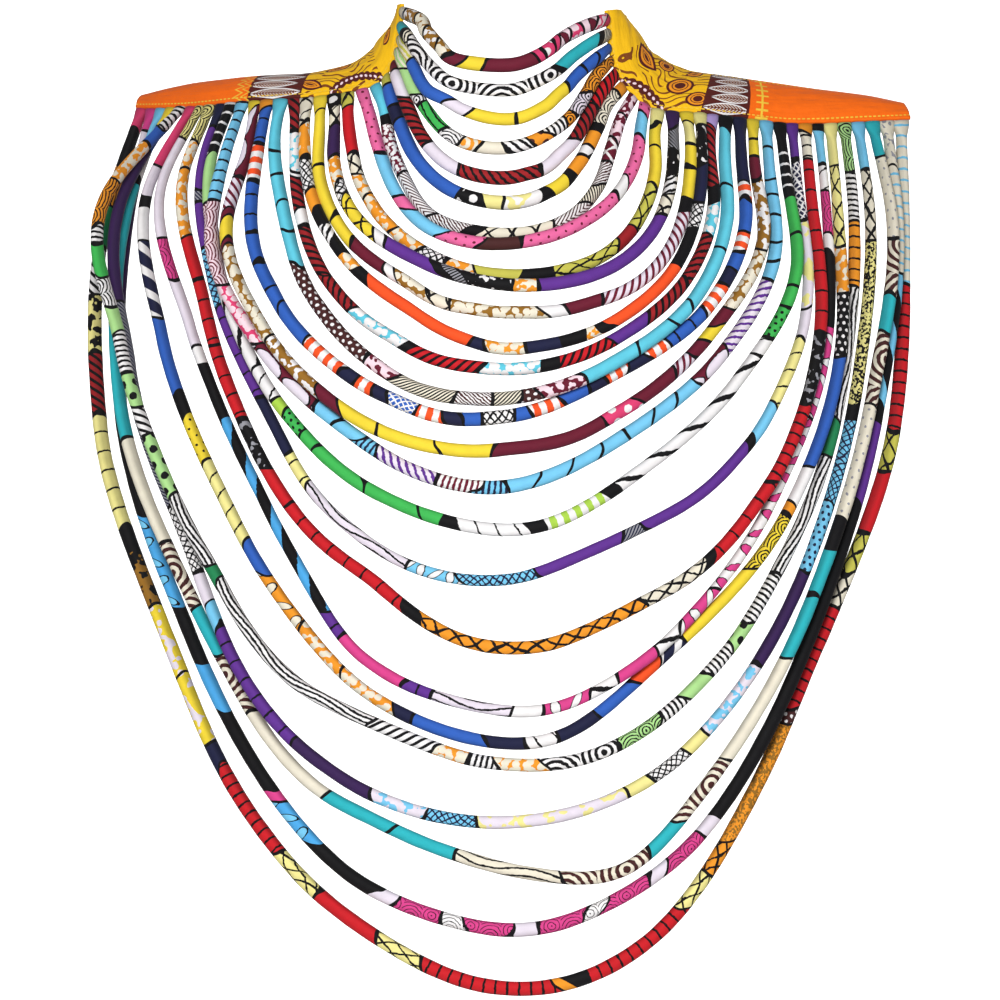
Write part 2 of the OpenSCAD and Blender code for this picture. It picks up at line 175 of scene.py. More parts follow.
# Where a strand bows out of its smooth line: its number, the place in hundredths of its length,
# and how far down or out.
strandBows = [
    (3, 34, -1.2), (3, 72, -1.2), (5, 63, 1.5), (6, 67, 1), (9, 16, 1), (11, 40, 1.8),
    (11, 57, 1.2), (12, 41, 1), (12, 49, 1), (13, 32, 1), (13, 42, 1.3), (14, 22, 1.4),
    (14, 42, 1.2), (15, 17, 1.8), (15, 46, 2), (16, 51, 1), (16, 58, 2.6), (17, 47, -1),
    (18, 36, 1.2), (18, 56, -1), (19, 33, 2.2), (19, 57, -2.6), (19, 67, 3.6), (19, 78, -3),
    (20, 24, -2.4), (20, 34, 3.8), (20, 48, -1.2), (20, 58, -2.6), (20, 66, 3.2), (21, 14, 2.4),
    (21, 24, 1.2), (21, 35, -3.2), (21, 49, -1.4), (21, 57, -2.4), (22, 8, -2), (22, 14, 1.8),
    (22, 36, -1.4), (23, 27, 2.6), (23, 36, 3.4), (23, 45, -4.8), (23, 51, -1.5), (23, 73, -3.2),
    (23, 86, -2), (24, 24, -2.4), (24, 38, -2.8), (24, 47, 2), (24, 56, -1.8), (25, 37, 4),
    (25, 45, -3.4), (25, 51, -3), (26, 18, -1.4), (26, 48, -3.2), (26, 56, -2.2), (27, 14, 4),
    (27, 22, -3.6), (27, 33, 3.2), (27, 44, -3.2), (27, 64, -2.6), (27, 80, -2.4),
]

strandKnots = [0, 0.062, 0.2, 0.4, 0.654, 1, 1.346, 1.6, 1.8, 1.938, 2]
strandCount = len(strands)


def mix(a, b, share):
    return a + (b - a) * share


def eased(share):
    held = np.clip(share, 0, 1)
    return held * held * (3 - 2 * held)


def unit(rows):
    rows = np.asarray(rows, float)
    return rows / np.maximum(np.linalg.norm(rows, axis=-1, keepdims=True), 1e-6)


def dot(a, b):
    return (a * b).sum(-1, keepdims=True)


# A smooth line through rows of values at rising knots, read at many places.
def through(knots, values, places):
    knots = np.asarray(knots, float)
    values = np.asarray(values, float)
    steps = np.diff(knots)[:, None]
    rises = np.diff(values, axis=0) / steps
    slopes = np.empty_like(values)
    slopes[0] = rises[0]
    slopes[-1] = rises[-1]
    slopes[1:-1] = mix(rises[:-1], rises[1:], steps[:-1] / (steps[:-1] + steps[1:]))
    places = np.asarray(places, float)
    i = np.clip(np.searchsorted(knots, places, side="right") - 1, 0, len(knots) - 2)
    step = steps[i]
    u = ((places - knots[i]) / step[:, 0])[:, None]
    return (
        values[i] * (1 + 2 * u) * (1 - u) ** 2
        + slopes[i] * step * u * (1 - u) ** 2
        + values[i + 1] * u * u * (3 - 2 * u)
        + slopes[i + 1] * step * u * u * (u - 1)
    )


def measured(points):
    return np.concatenate([[0], np.cumsum(np.linalg.norm(np.diff(points, axis=0), axis=1))])


# Points at distances along a line of points.
def along(points, lengths, distances):
    return np.stack([np.interp(distances, lengths, points[:, c]) for c in range(3)], axis=-1)


# The seam that the strands hang from, along the front edge of a band.
def bandSeam(sections):
    rows = np.asarray(sections, float)
    edge = through(range(len(rows)), rows[:, :3], np.arange(0, len(rows) - 0.9, 0.25))
    lengths = measured(edge)
    room = np.array([row[0] for row in strands]) * necklace["rootSpread"]
    spare = lengths[-1] - necklace["seamStart"] - necklace["seamEnd"] - room.sum()
    places = (
        necklace["seamStart"]
        + np.cumsum(room)
        - room / 2
        + np.arange(strandCount) * spare / (strandCount - 1)
    )
    ways = unit(along(edge, lengths, places + 0.5) - along(edge, lengths, places - 0.5))
    return along(edge, lengths, places), ways


leftSeam, leftWays = bandSeam(leftSections)
rightSeam, rightWays = bandSeam(rightSections)


# A strand between two ends, at places from 0 past its lowest point at 1 to 2.
def strandPoints(k, left, right, places):
    row = strands[k]
    across = [
        left[0], row[3], row[4], row[5], row[6], row[1],
        row[10], row[9], row[8], row[7], right[0],
    ]
    places = np.asarray(places, float)
    onLeft = places < 1
    t = np.minimum(places, 2 - places)
    endBack = np.where(onLeft, left[1], right[1])
    endUp = np.where(onLeft, left[2], right[2])
    low = (
        necklace["throatDepth"]
        + necklace["chestRise"] * eased((necklace["chestTop"] - row[2]) / necklace["chestDrop"])
        + strandLayers[k][1]
    )
    side = np.where(onLeft, strandLayers[k][0], strandLayers[k][2])
    sag = t ** min(1, necklace["sag"] + necklace["sagMore"] * k)
    leaving = eased((t - necklace["layerEnd"]) / (1 - necklace["layerEnd"]))
    forward = mix(-endBack, low, np.sin(np.pi / 2 * sag))
    forward = forward + side * eased(t / necklace["layerStart"]) * (1 - leaving)
    x = through(strandKnots, np.array(across)[:, None], places)[:, 0]
    return np.stack([x, -forward, row[2] + (endUp - row[2]) * (1 - t) ** 2], axis=-1)


# Where a strand's end is sewn: clear of the band, on the way that the strand takes.
def seated(k, place):
    ends = leftSeam[k], rightSeam[k]
    start, near = strandPoints(k, *ends, [place, 0.02 if place < 1 else 1.98])
    going = unit(near - start)
    way = leftWays[k] if place < 1 else rightWays[k]
    away = np.linalg.norm(going - (going * way).sum() * way)
    return start + going * (bandHalf + necklace["seatGap"]) / max(0.5, away)


# How far a strand bows at places in hundredths of its length.
def strandBow(k, places):
    total = np.zeros(len(places))
    for number, middle, far in strandBows:
        u = (places - middle) / necklace["bowReach"]
        if number == k + 1:
            total += np.where(np.abs(u) < 1, far * (1 - u * u) ** 2, 0)
    return total


# The way a strand runs, the way out from the body, and the way across, at each point of its line.
def strandWays(line):
    forward = unit(np.gradient(line, axis=0))
    out = line * (1, 1, 0) - (0, necklace["faceFrom"], 0)
    out = unit(out - dot(out, forward) * forward)
    return forward, out, np.cross(forward, out)


# A strand's even middle line, with its directions and half sizes at each point.
def strandFrames(k, step):
    fine = strandPoints(k, seated(k, 0), seated(k, 2), np.linspace(0, 2, 641))
    lengths = measured(fine)
    count = max(40, round(lengths[-1] / step))
    line = along(fine, lengths, np.linspace(0, lengths[-1], count + 1))
    line = line + strandWays(line)[2] * strandBow(k, np.linspace(0, 100, count + 1))[:, None]
    distances = measured(line)
    forward, out, across = strandWays(line)
    firstHalf = (np.arange(count + 1) * 2 < count)[:, None]
    ways = np.where(firstHalf, leftWays[k], rightWays[k])
    face = np.cross(ways, unit(forward - dot(forward, ways) * ways))
    fromEnd = np.minimum(distances, distances[-1] - distances)
    turn = (1 - eased(fromEnd / necklace["turnLength"]))[:, None]
    turnedAcross = unit(mix(across, ways * np.sign(dot(ways, across)), turn))
    turnedOut = unit(mix(out, face * np.sign(dot(face, out)), turn))
    atCollar = float(eased((k - 5) / 4))
    rootSpread = mix(necklace["collarSpread"], necklace["rootSpread"], atCollar)
    free = eased(fromEnd / (strandCloth["swellShare"] * distances[-1]))
    full = strands[k][11] / strands[k][0]
    wide = mix(rootSpread * strandCloth["rootWidth"], full, free)
    deep = mix(min(1, 2 - rootSpread), full, free)
    deep = deep * mix(strandCloth["pinch"], 1, eased(fromEnd / strandCloth["pinchLength"]))
    half = strands[k][0] / 2
    return line, distances, turnedAcross, turnedOut, half * wide, half * deep


clothMap = "clothMap"
millimetre = 0.001
capShares = (0.82, 0.45)  # sizes of the two rings that close a tube's end, before its tip


# A new smooth object from points in metres.
def newPiece(name, points, faces):
    mesh = bpy.data.meshes.new(name)
    mesh.from_pydata(points, [], faces)
    mesh.polygons.foreach_set("use_smooth", [True] * len(faces))
    piece = bpy.data.objects.new(name, mesh)
    bpy.context.scene.collection.objects.link(piece)
    return piece


# A closed tube through rings of points, with a map of real lengths along and around it.
def tube(name, rings, alongMap, aroundMap):
    ringCount, sides, _ = rings.shape
    last = ringCount - 1
    ends = []
    for ring in (rings[0], rings[last]):
        middle = ring.mean(axis=0)
        ends += [middle + (ring - middle) * share for share in capShares] + [middle[None, :]]
    points = np.concatenate([rings.reshape(-1, 3)] + ends) * millimetre
    faces = []
    coords = []
    aroundMap = np.broadcast_to(aroundMap, (ringCount, sides + 1)).tolist()

    def strip(first, second, i0, i1):
        u0, u1 = alongMap[i0], alongMap[i1]
        v0, v1 = aroundMap[i0], aroundMap[i1]
        for j in range(sides):
            n = (j + 1) % sides
            faces.append((first + j, first + n, second + n, second + j))
            coords.extend(((u0, v0[j]), (u0, v0[j + 1]), (u1, v1[j + 1]), (u1, v1[j])))

    for i in range(last):
        strip(i * sides, (i + 1) * sides, i, i + 1)
    base = ringCount * sides
    for i in (0, last):
        turned = i == 0
        u, v = alongMap[i], aroundMap[i]
        chain = [i * sides, base, base + sides]
        for a, b in zip(chain, chain[1:]):
            strip(*((b, a) if turned else (a, b)), i, i)
        ring = base + sides
        tip = ring + sides
        for j in range(sides):
            corners = (ring + j, ring + (j + 1) % sides, tip)
            marks = ((u, v[j]), (u, v[j + 1]), (u, v[j]))
            faces.append(corners[::-1] if turned else corners)
            coords.extend(marks[::-1] if turned else marks)
        base = tip + 1
    piece = newPiece(name, points.tolist(), faces)
    layer = piece.data.uv_layers.new(name=clothMap)
    layer.data.foreach_set("uv", (np.array(coords) * millimetre).ravel())
    a, b, c = (points[[face[i] for face in faces]] for i in range(3))
    d = points[[face[-1] for face in faces]]
    turnedIn = (a * (np.cross(b, c) + np.cross(c, d))).sum() < 0
    if turnedIn:
        piece.data.flip_normals()
    piece.data.update()
    return piece


# Nodes for the materials.
def twoInputs(operation, swapped=False):
    def made(first, second):
        return calc(operation, second, first) if swapped else calc(operation, first, second)

    return made


# A wire from a node's output. Arithmetic on it adds the math nodes that work it out.
class Wire:
    def __init__(self, socket):
        self.socket = socket

    __add__ = twoInputs("ADD")
    __sub__ = twoInputs("SUBTRACT")
    __rsub__ = twoInputs("SUBTRACT", swapped=True)
    __mul__ = twoInputs("MULTIPLY")
    __truediv__ = twoInputs("DIVIDE")
    __rtruediv__ = twoInputs("DIVIDE", swapped=True)
    __lt__ = twoInputs("LESS_THAN")
    __gt__ = twoInputs("GREATER_THAN")

    def __abs__(self):
        return calc("ABSOLUTE", self)


def feed(socket, value):
    if isinstance(value, Wire):
        socket.id_data.links.new(value.socket, socket)
    else:
        socket.default_value = value


def fill(node, **values):
    for label, value in values.items():
        feed(node.inputs[label], value)


# A new node with its inputs filled in, either in their order or by their names.
def newNode(tree, kind, *values, **named):
    node = tree.nodes.new("ShaderNode" + kind)
    for socket, value in zip(node.inputs, values):
        feed(socket, value)
    fill(node, **named)
    return node


# The tree that a row of wires and numbers belongs to.
def treeOf(*values):
    return next(value.socket.id_data for value in values if isinstance(value, Wire))


def calc(operation, *values):
    node = newNode(treeOf(*values), "Math", *values)
    node.operation = operation
    return Wire(node.outputs[0])


def fract(value):
    return calc("FRACT", value)


def sine(value):
    return calc("SINE", value)


def most(first, second):
    return calc("MAXIMUM", first, second)


# 1 where a value lies within reach of another, and 0 elsewhere.
def near(value, other, reach):
    return calc("COMPARE", value, other, reach)


def timesPlus(value, times, plus):
    return calc("MULTIPLY_ADD", value, times, plus)


# One colour over another, by a share from 0 to 1.
def blend(share, under, over):
    node = treeOf(share).nodes.new("ShaderNodeMix")
    node.data_type = "RGBA"
    fill(node, Factor=share, A=under, B=over)
    return Wire(node.outputs["Result"])


# Named colours laid over another one by one, each where its mask is.
def layered(colour, *layers):
    for mask, name in layers:
        colour = blend(mask, colour, linear(name))
    return colour


def vector(x, y, z):
    return Wire(newNode(treeOf(x, y, z), "CombineXYZ", x, y, z).outputs[0])


def noise(across, up, scale, detail, seed):
    spot = vector(across, up, seed)
    node = newNode(treeOf(spot), "TexNoise", Vector=spot, Scale=scale, Detail=detail)
    return Wire(node.outputs["Fac"])


# The three parts of a vector or a colour.
def apart(value, kind):
    return [Wire(part) for part in newNode(treeOf(value), "Separate" + kind, value).outputs]


# A named colour as the shaders take it.
def linear(name):
    return [
        part / 12.92 if part < 0.04045 else ((part + 0.055) / 1.055) ** 2.4
        for part in colours[name]
    ] + [1]


# A new group from the names of its inputs and outputs. A name alone is a number.
def newGroup(name, inputs, outputs):
    tree = bpy.data.node_groups.new(name, "ShaderNodeTree")
    for labels, way in ((inputs, "INPUT"), (outputs, "OUTPUT")):
        for label in labels.split():
            label, _, kind = label.partition(":")
            kind = "NodeSocket" + (kind or "Float")
            tree.interface.new_socket(name=label, in_out=way, socket_type=kind)
    given = tree.nodes.new("NodeGroupInput").outputs
    return tree, [Wire(socket) for socket in given if socket.name]


def finishGroup(tree, **results):
    fill(tree.nodes.new("NodeGroupOutput"), **results)
    return tree


# A group placed in a material, as wires from its outputs.
def place(tree, group, **values):
    node = tree.nodes.new("ShaderNodeGroup")
    node.node_tree = group
    fill(node, **values)
    return {socket.name: Wire(socket) for socket in node.outputs}


# A ramp that holds each of its rows' values until the row's end, in hundredths.
def heldRamp(factor, ends, values):
    node = newNode(treeOf(factor), "ValToRGB", factor)
    ramp = node.color_ramp
    ramp.interpolation = "CONSTANT"
    while len(ramp.elements) > 1:
        ramp.elements.remove(ramp.elements[-1])
    starts = [0] + [end / 100 for end in ends[:-1]]
    for i, (start, value) in enumerate(zip(starts, values)):
        element = ramp.elements[0] if i == 0 else ramp.elements.new(start)
        element.position = start
        element.color = value
    return Wire(node.outputs["Color"]), Wire(node.outputs["Alpha"])


# Where a point of a cloth lies, in millimetres along it and across it.
def clothSpot(cloth):
    x, y, _ = apart(cloth, "XYZ")
    return x * 1000, y * 1000


def newMaterial(name):
    material = bpy.data.materials.new(name)
    material.use_nodes = True
    return material, material.node_tree


def clothUv(tree):
    node = tree.nodes.new("ShaderNodeUVMap")
    node.uv_map = clothMap
    return Wire(node.outputs[0])


# Colour, roughness and bump for a material's shader, and its plain values.
def finishMaterial(material, colour, roughness, height, strength, deep, plain):
    tree = material.node_tree
    bump = newNode(tree, "Bump", Strength=strength, Distance=deep, Height=height)
    wires = {"Base Color": colour, "Roughness": roughness, "Normal": Wire(bump.outputs[0])}
    fill(tree.nodes["Principled BSDF"], **wires, **plain)
    return material


# The same for a cloth, from the colour and roughness of its finish and its height in millimetres.
def finishCloth(material, finish, height, strength, shine):
    plain = {"Sheen Weight": cotton["sheen"], "Specular IOR Level": shine}
    colour, roughness = finish["Colour"], finish["Roughness"]
    return finishMaterial(material, colour, roughness, height, strength, millimetre, plain)


# How a print lies on its cloth, in millimetres.
lay = {
    "waver": 5,  # how far a boundary wanders
    "waverScale": 0.09,
    "wrap": 0.24,  # how fast a boundary swings with the way round the strand
    "slant": 4.5,  # how far it then swings along the strand
    "turn": 4.5,  # how much the slant changes along the strand
    "turnScale": 0.045,
    "otherSeed": 31,  # keeps the two noises apart
}


# Where a point lies in the print's order, also half an outline before it and after it.
def buildClothPlace():
    tree, (cloth, length, lean, seed, outline) = newGroup(
        "clothPlace", "Map:Vector Length Lean Seed Outline", "Along Around Place Before After"
    )
    a, b = clothSpot(cloth)
    shift = (noise(a, b, lay["waverScale"], 1, seed) - 0.5) * lay["waver"]
    turning = noise(a, 0, lay["turnScale"], 0, seed + lay["otherSeed"]) - 0.5
    leaning = timesPlus(turning, lay["turn"], lean)
    moved = a + (shift - sine(b * lay["wrap"]) * lay["slant"] * leaning)
    line = outline * 0.5
    edges = {"Before": (moved - line) / length, "After": (moved + line) / length}
    return finishGroup(tree, Along=a, Around=b, Place=moved / length, **edges)


# The kinds of figures. A figure goes to its group as a colour, whose channels end at 1, so its
# kind's number, its pitch and its lean are scaled down.
kinds = ["plain", "lines", "chevrons", "net", "dots", "rings", "leaves", "blotches"]
kinds += ["lengthways", "petals", "pebbles", "hem"]
plan = {"kinds": 16, "pitches": 40, "leans": 4}

# How the figures are drawn, in millimetres where nothing else is said.
drawing = {
    "leastPitch": 0.5,
    "jitter": 1.6,  # how ragged an edge is
    "jitterScale": 0.35,
    "netWander": 9,
    "netScale": 0.07,
    "ringGrowth": 0.1,  # how much wider apart rings lie, for each millimetre of pitch
    "leafNarrow": 2.2,
    "petalNarrow": 1.9,
    "blotchScale": 1.6,
    "blotchLevel": 0.95,
    "bendEvery": 9,  # lengthways lines bend once in about six of these
    "bendFar": 2.2,
    "pebbleUneven": 0.8,
    "hemOut": 1.5,  # how far out a hem's stitches lie, for a lean of 1
    "hemThin": 0.24,
    "edge": 0.6,  # half the width of the line round a leaf or petal
}


# The figures that the prints are made of.
def buildFigure():
    tree, (alongCloth, aroundCloth, planned, share, seed) = newGroup(
        "printFigure", "Along Around Plan:Color Share Seed", "Mask Edge"
    )
    code, pitch, lean = apart(planned, "Color")
    code = code * plan["kinds"]
    pitch = most(pitch * plan["pitches"], drawing["leastPitch"])
    lean = lean * plan["leans"] - plan["leans"] / 2
    rough = noise(alongCloth, aroundCloth, drawing["jitterScale"], 2, seed)
    jitter = (rough - 0.5) * drawing["jitter"]
    a = alongCloth + jitter
    b = aroundCloth + jitter

    def drawn(place):
        return fract(place / pitch) < share

    def lines(leaning, sideways):
        return drawn(a - leaning * sideways)

    def far(x, y):
        return calc("SQRT", x * x + y * y)

    strayed = b + (noise(a, b, drawing["netScale"], 0, seed) - 0.5) * drawing["netWander"]

    # Cells one pitch long, with their middles on the strand's front.
    x = fract(a / pitch) - 0.5
    across = b / pitch
    odd = calc("PINGPONG", calc("FLOOR", a / pitch), 1)
    y = across + odd * lean
    wrappedY = fract(y + 0.5) - 0.5
    leafFar = far(x, y * drawing["leafNarrow"])
    petalFar = far((x - across * (lean * (1 - odd))) * drawing["petalNarrow"], across)
    ringEvery = timesPlus(pitch, drawing["ringGrowth"], 1)
    spots = noise(alongCloth / pitch, aroundCloth / pitch, drawing["blotchScale"], 1, seed)
    bend = sine(alongCloth / drawing["bendEvery"]) * (lean * drawing["bendFar"])
    cells = {"Vector": vector(a / pitch, across, 0), "Randomness": drawing["pebbleUneven"]}
    pebble = newNode(tree, "TexVoronoi", Scale=1, **cells)
    pebble.voronoi_dimensions = "2D"
    hemRow = near(abs(aroundCloth), lean * drawing["hemOut"], drawing["hemThin"])
    shapes = {
        "lines": lines(lean, b),
        "chevrons": lines(lean, abs(b)),
        "net": most(lines(lean, strayed), lines(lean * -1, strayed)),
        "dots": far(x, wrappedY) < share,
        "rings": fract(far(x, y) * pitch / ringEvery) < share,
        "leaves": leafFar < share,
        "blotches": spots > drawing["blotchLevel"] - share,
        "lengthways": drawn(b + bend),
        "petals": petalFar < share,
        "pebbles": Wire(pebble.outputs["Distance"]) < share,
        "hem": hemRow * drawn(alongCloth),
    }
    picked = {kind: near(code, kinds.index(kind), 0.5) for kind in shapes}
    parts = [picked[kind] * shape for kind, shape in shapes.items()]
    thin = drawing["edge"] / pitch
    edges = [
        near(reach, share, thin) * picked[kind]
        for kind, reach in (("leaves", leafFar), ("petals", petalFar))
    ]
    return finishGroup(tree, Mask=sum(parts[1:], parts[0]), Edge=most(*edges))


cotton = {
    "sheen": 0.04,
    "shine": 0.22,
    "bump": 0.4,
    "outline": 2.2,  # width of the dark line where two parts of a print meet
    "threads": 14,  # how close the threads lie
    "threadTone": 0.035,
    "threadHigh": 0.05,
    "tone": 0.88,  # brightness of the print before wear adds to it in places
    "wear": 0.24,
    "wearScale": 0.12,
    "paintedSideShadeRate": 0.14,  # painted shade at the sides, for each millimetre past the unshaded front
    "paintedSideShadeMost": 0.4,
    "endShadeTone": 0.62,  # tone of the painted shade at the sewn ends
    "endShadeRise": 0.03,
    "puckerLong": 0.35,
    "puckerRound": 0.12,
    "roughness": 0.62,
    "roughnessWear": 0.2,
}


# Printed cotton: ground and figure inks with their outlines, the threads, small puckers, and
# painted shade towards the sides and near the sewn ends.
def buildCotton():
    tree, (a, b, ground, figure, mask, outline, seed, pucker, clean, fromEnd) = newGroup(
        "printedCotton",
        "Along Around Ground:Color Figure:Color Mask Outline Seed Pucker Clean FromEnd",
        "Colour:Color Height Roughness",
    )
    printed = blend(outline, blend(mask, ground, figure), linear("ink"))
    weave = sine(a * cotton["threads"]) * sine(b * cotton["threads"])
    worn = noise(a, b, cotton["wearScale"], 3, seed)
    faded = timesPlus(worn, cotton["wear"], cotton["tone"])
    tone = weave * cotton["threadTone"] + faded
    # Painted shade: darker towards the sides, past a reach round the front that stays unshaded.
    sides = calc("SMOOTH_MAX", abs(b) - clean, 0, 1)
    tone = tone - calc("MINIMUM", sides * cotton["paintedSideShadeRate"], cotton["paintedSideShadeMost"])
    # Painted shade near the sewn ends: darkest at each end, gone about 13 mm from it.
    endShadeFactor = timesPlus(fromEnd, cotton["endShadeRise"], cotton["endShadeTone"])
    tone = tone * calc("MINIMUM", endShadeFactor, 1)
    shade = newNode(tree, "HueSaturation", Value=tone, Color=printed)
    puckers = noise(a * cotton["puckerLong"], b * cotton["puckerRound"], 1, 2, seed)
    return finishGroup(
        tree,
        Colour=Wire(shade.outputs[0]),
        Height=weave * cotton["threadHigh"] + puckers * pucker,
        Roughness=timesPlus(worn, cotton["roughnessWear"], cotton["roughness"]),
    )


colours = {
    "ink": (0.04, 0.035, 0.05),
    "white": (0.95, 0.94, 0.94),
    "cream": (0.93, 0.90, 0.82),
    "paper": (0.91, 0.87, 0.92),
    "pinkWhite": (0.97, 0.86, 0.90),
    "grey": (0.60, 0.60, 0.63),
    "brown": (0.60, 0.42, 0.14),
    "maroon": (0.42, 0.09, 0.18),
    "darkBrown": (0.28, 0.13, 0.13),
    "darkRed": (0.62, 0.12, 0.14),
    "red": (0.80, 0.10, 0.14),
    "redOrange": (0.98, 0.33, 0.13),
    "orange": (0.95, 0.60, 0.15),
    "yellow": (0.95, 0.84, 0.22),
    "paleYellow": (0.95, 0.91, 0.58),
    "olive": (0.80, 0.78, 0.33),
    "lime": (0.68, 0.84, 0.30),
    "paleGreen": (0.68, 0.87, 0.56),
    "green": (0.25, 0.72, 0.33),
    "darkGreen": (0.13, 0.52, 0.32),
    "teal": (0.17, 0.71, 0.75),
    "turquoise": (0.38, 0.80, 0.89),
    "skyBlue": (0.47, 0.79, 0.94),
    "brightBlue": (0.30, 0.66, 0.90),
    "blue": (0.19, 0.38, 0.74),
    "navy": (0.11, 0.12, 0.25),
    "purple": (0.38, 0.19, 0.57),
    "darkPurple": (0.22, 0.12, 0.32),
    "lilac": (0.72, 0.62, 0.86),
    "pink": (0.93, 0.42, 0.64),
    "crimson": (0.88, 0.25, 0.45),
    "magenta": (0.86, 0.26, 0.55),
    "bandOrange": (1.0, 0.43, 0.0),
    "bandYellow": (0.98, 0.76, 0.05),
    "bandAmber": (0.97, 0.60, 0.10),
    "bandBrown": (0.50, 0.26, 0.06),
    "bandDark": (0.33, 0.09, 0.07),
    "bandThread": (0.98, 0.80, 0.25),
    "steel": (0.62, 0.60, 0.56),
    "brightSteel": (0.80, 0.78, 0.74),
}

# Figures: kind, pitch, lean, and how much of the cloth they ink. After each come the cloths that
# are printed with it, as name, ground and ink.
figures = """
lines 13 0 0.1: blueBars blue ink, yellowBars paleYellow ink, redBars red ink,
purpleBars purple ink;
lines 7 0 0.2: skyBars skyBlue ink, inkBars ink white, redCloseBars red ink, creamBars cream ink,
orangeBars orange ink, skyCreamBars cream skyBlue;
lines 8 0 0.5: orangeStripes white redOrange, limeBars lime white;
lines 3.4 0.1 0.45: whiteBars white ink, navyBars skyBlue navy, maroonBars white maroon;
lines 5.5 0.8 0.42: whiteSlant white ink, redSlant darkRed ink, brightSlant red ink,
maroonSlant paper maroon;
lines 5.5 -0.8 0.42: whiteBackSlant white ink, redBackSlant darkRed ink, purpleSlant paper purple;
lines 12 -0.5 0.1: whiteThin white ink, yellowSlant paleYellow ink;
lines 15 0.9 0.4: navySlant navy white;
lines 27 -1.8 0.23: whiteStrokes white ink;
lines 36 1.9 0.42: skySlant ink skyBlue;
lines 36 -1.9 0.42: blueSlant ink brightBlue;
lines 2.6 1.1 0.5: whiteHatch cream ink, inkComb ink grey, navyComb navy grey;
lines 2.6 -1.1 0.5: backFeather white darkBrown;
chevrons 3.4 1.6 0.42: whiteFeather white darkBrown;
net 10.5 1 0.22: maroonWhite maroon white;
net 12 1.2 0.22: orangeNet orange ink, creamNet cream ink;
net 15 1.7 0.17: oliveNet olive ink, yellowNet paleYellow ink;
net 14 0.9 0.14: creamLines cream ink, yellowLines yellow ink;
net 4.5 1 0.3: inkCross white ink, blueCross blue white, skyNet skyBlue navy, navyNet navy white;
dots 4.2 0.5 0.26: inkDots darkBrown white, greenDots green ink, inkDiamonds ink white,
blueDots skyBlue navy;
dots 5.5 0.5 0.15: pinkDots pink maroon, yellowDots yellow ink, creamDots cream grey;
dots 9 0.5 0.28: pinkSpots crimson white, orangeDot orange darkBrown, inkDrops ink white,
greenSpots paleGreen ink;
rings 36 0.2 0.5: orangeRings cream orange, creamRings cream darkBrown;
rings 12 0.4 0.22: magentaLeaves magenta ink, whiteCurls white ink;
rings 30 0.25 0.5: whiteRings white ink;
rings 11 0.4 0.42: whiteArcs white ink, orangeCurls orange ink, creamCurls cream ink,
yellowCurls paleYellow ink, greyCurls paper ink, maroonRings pinkWhite maroon,
yellowRings yellow ink, greenRings paleGreen ink;
leaves 25 0 0.46: maroonLeaf maroon paper;
blotches 7 0 0.46: whiteBrown white brown, creamOrange cream orange, maroonDots pinkWhite maroon,
maroonBlocks maroon pinkWhite, blueBlocks skyBlue paper, redBlocks ink paleYellow,
leafBlocks ink brown;
blotches 7 0 0.37: creamBlotched cream grey, inkShapes ink white, inkCurls ink grey;
blotches 11 0 0.5: yellowBlocks paleYellow white, lilacYellow paleYellow paper,
paleBars paper yellow;
blotches 2.6 0 0.45: orangeSpeckle orange brown, yellowSpeckle paleYellow ink;
lengthways 3 0.7 0.48: oliveStreaks olive cream, greenStreaks paleGreen cream, longLines white ink;
lengthways 5 1 0.26: greenCurves green ink, lilacLines paper ink, creamLong cream ink;
petals 13 0.8 0.42: pinkStrokes pinkWhite maroon, magentaStrokes magenta white,
orangeStrokes orange cream, tealStrokes brightBlue skyBlue;
petals 13 -0.8 0.42: whiteMagenta white magenta;
petals 9 0.9 0.5: tealNet skyBlue white;
pebbles 4.6 0 0.5: brownBlotched brown cream, pinkBlotched crimson pinkWhite,
orangeBlocks orange cream, turquoiseSwirl turquoise white;
pebbles 2.9 0 0.44: maroonFeather maroon white;
hem 3.2 1.9 0.68: strapCloth bandYellow bandThread
"""
plainCloth = ("plain", 10, 0, 0)
cloths = {}
for row in figures.split(";"):
    figure, printed = row.split(":")
    kind, *numbers = figure.split()
    for cloth in printed.split(","):
        name, ground, ink = cloth.split()
        cloths[name] = (ground, ink, kind, *map(float, numbers))

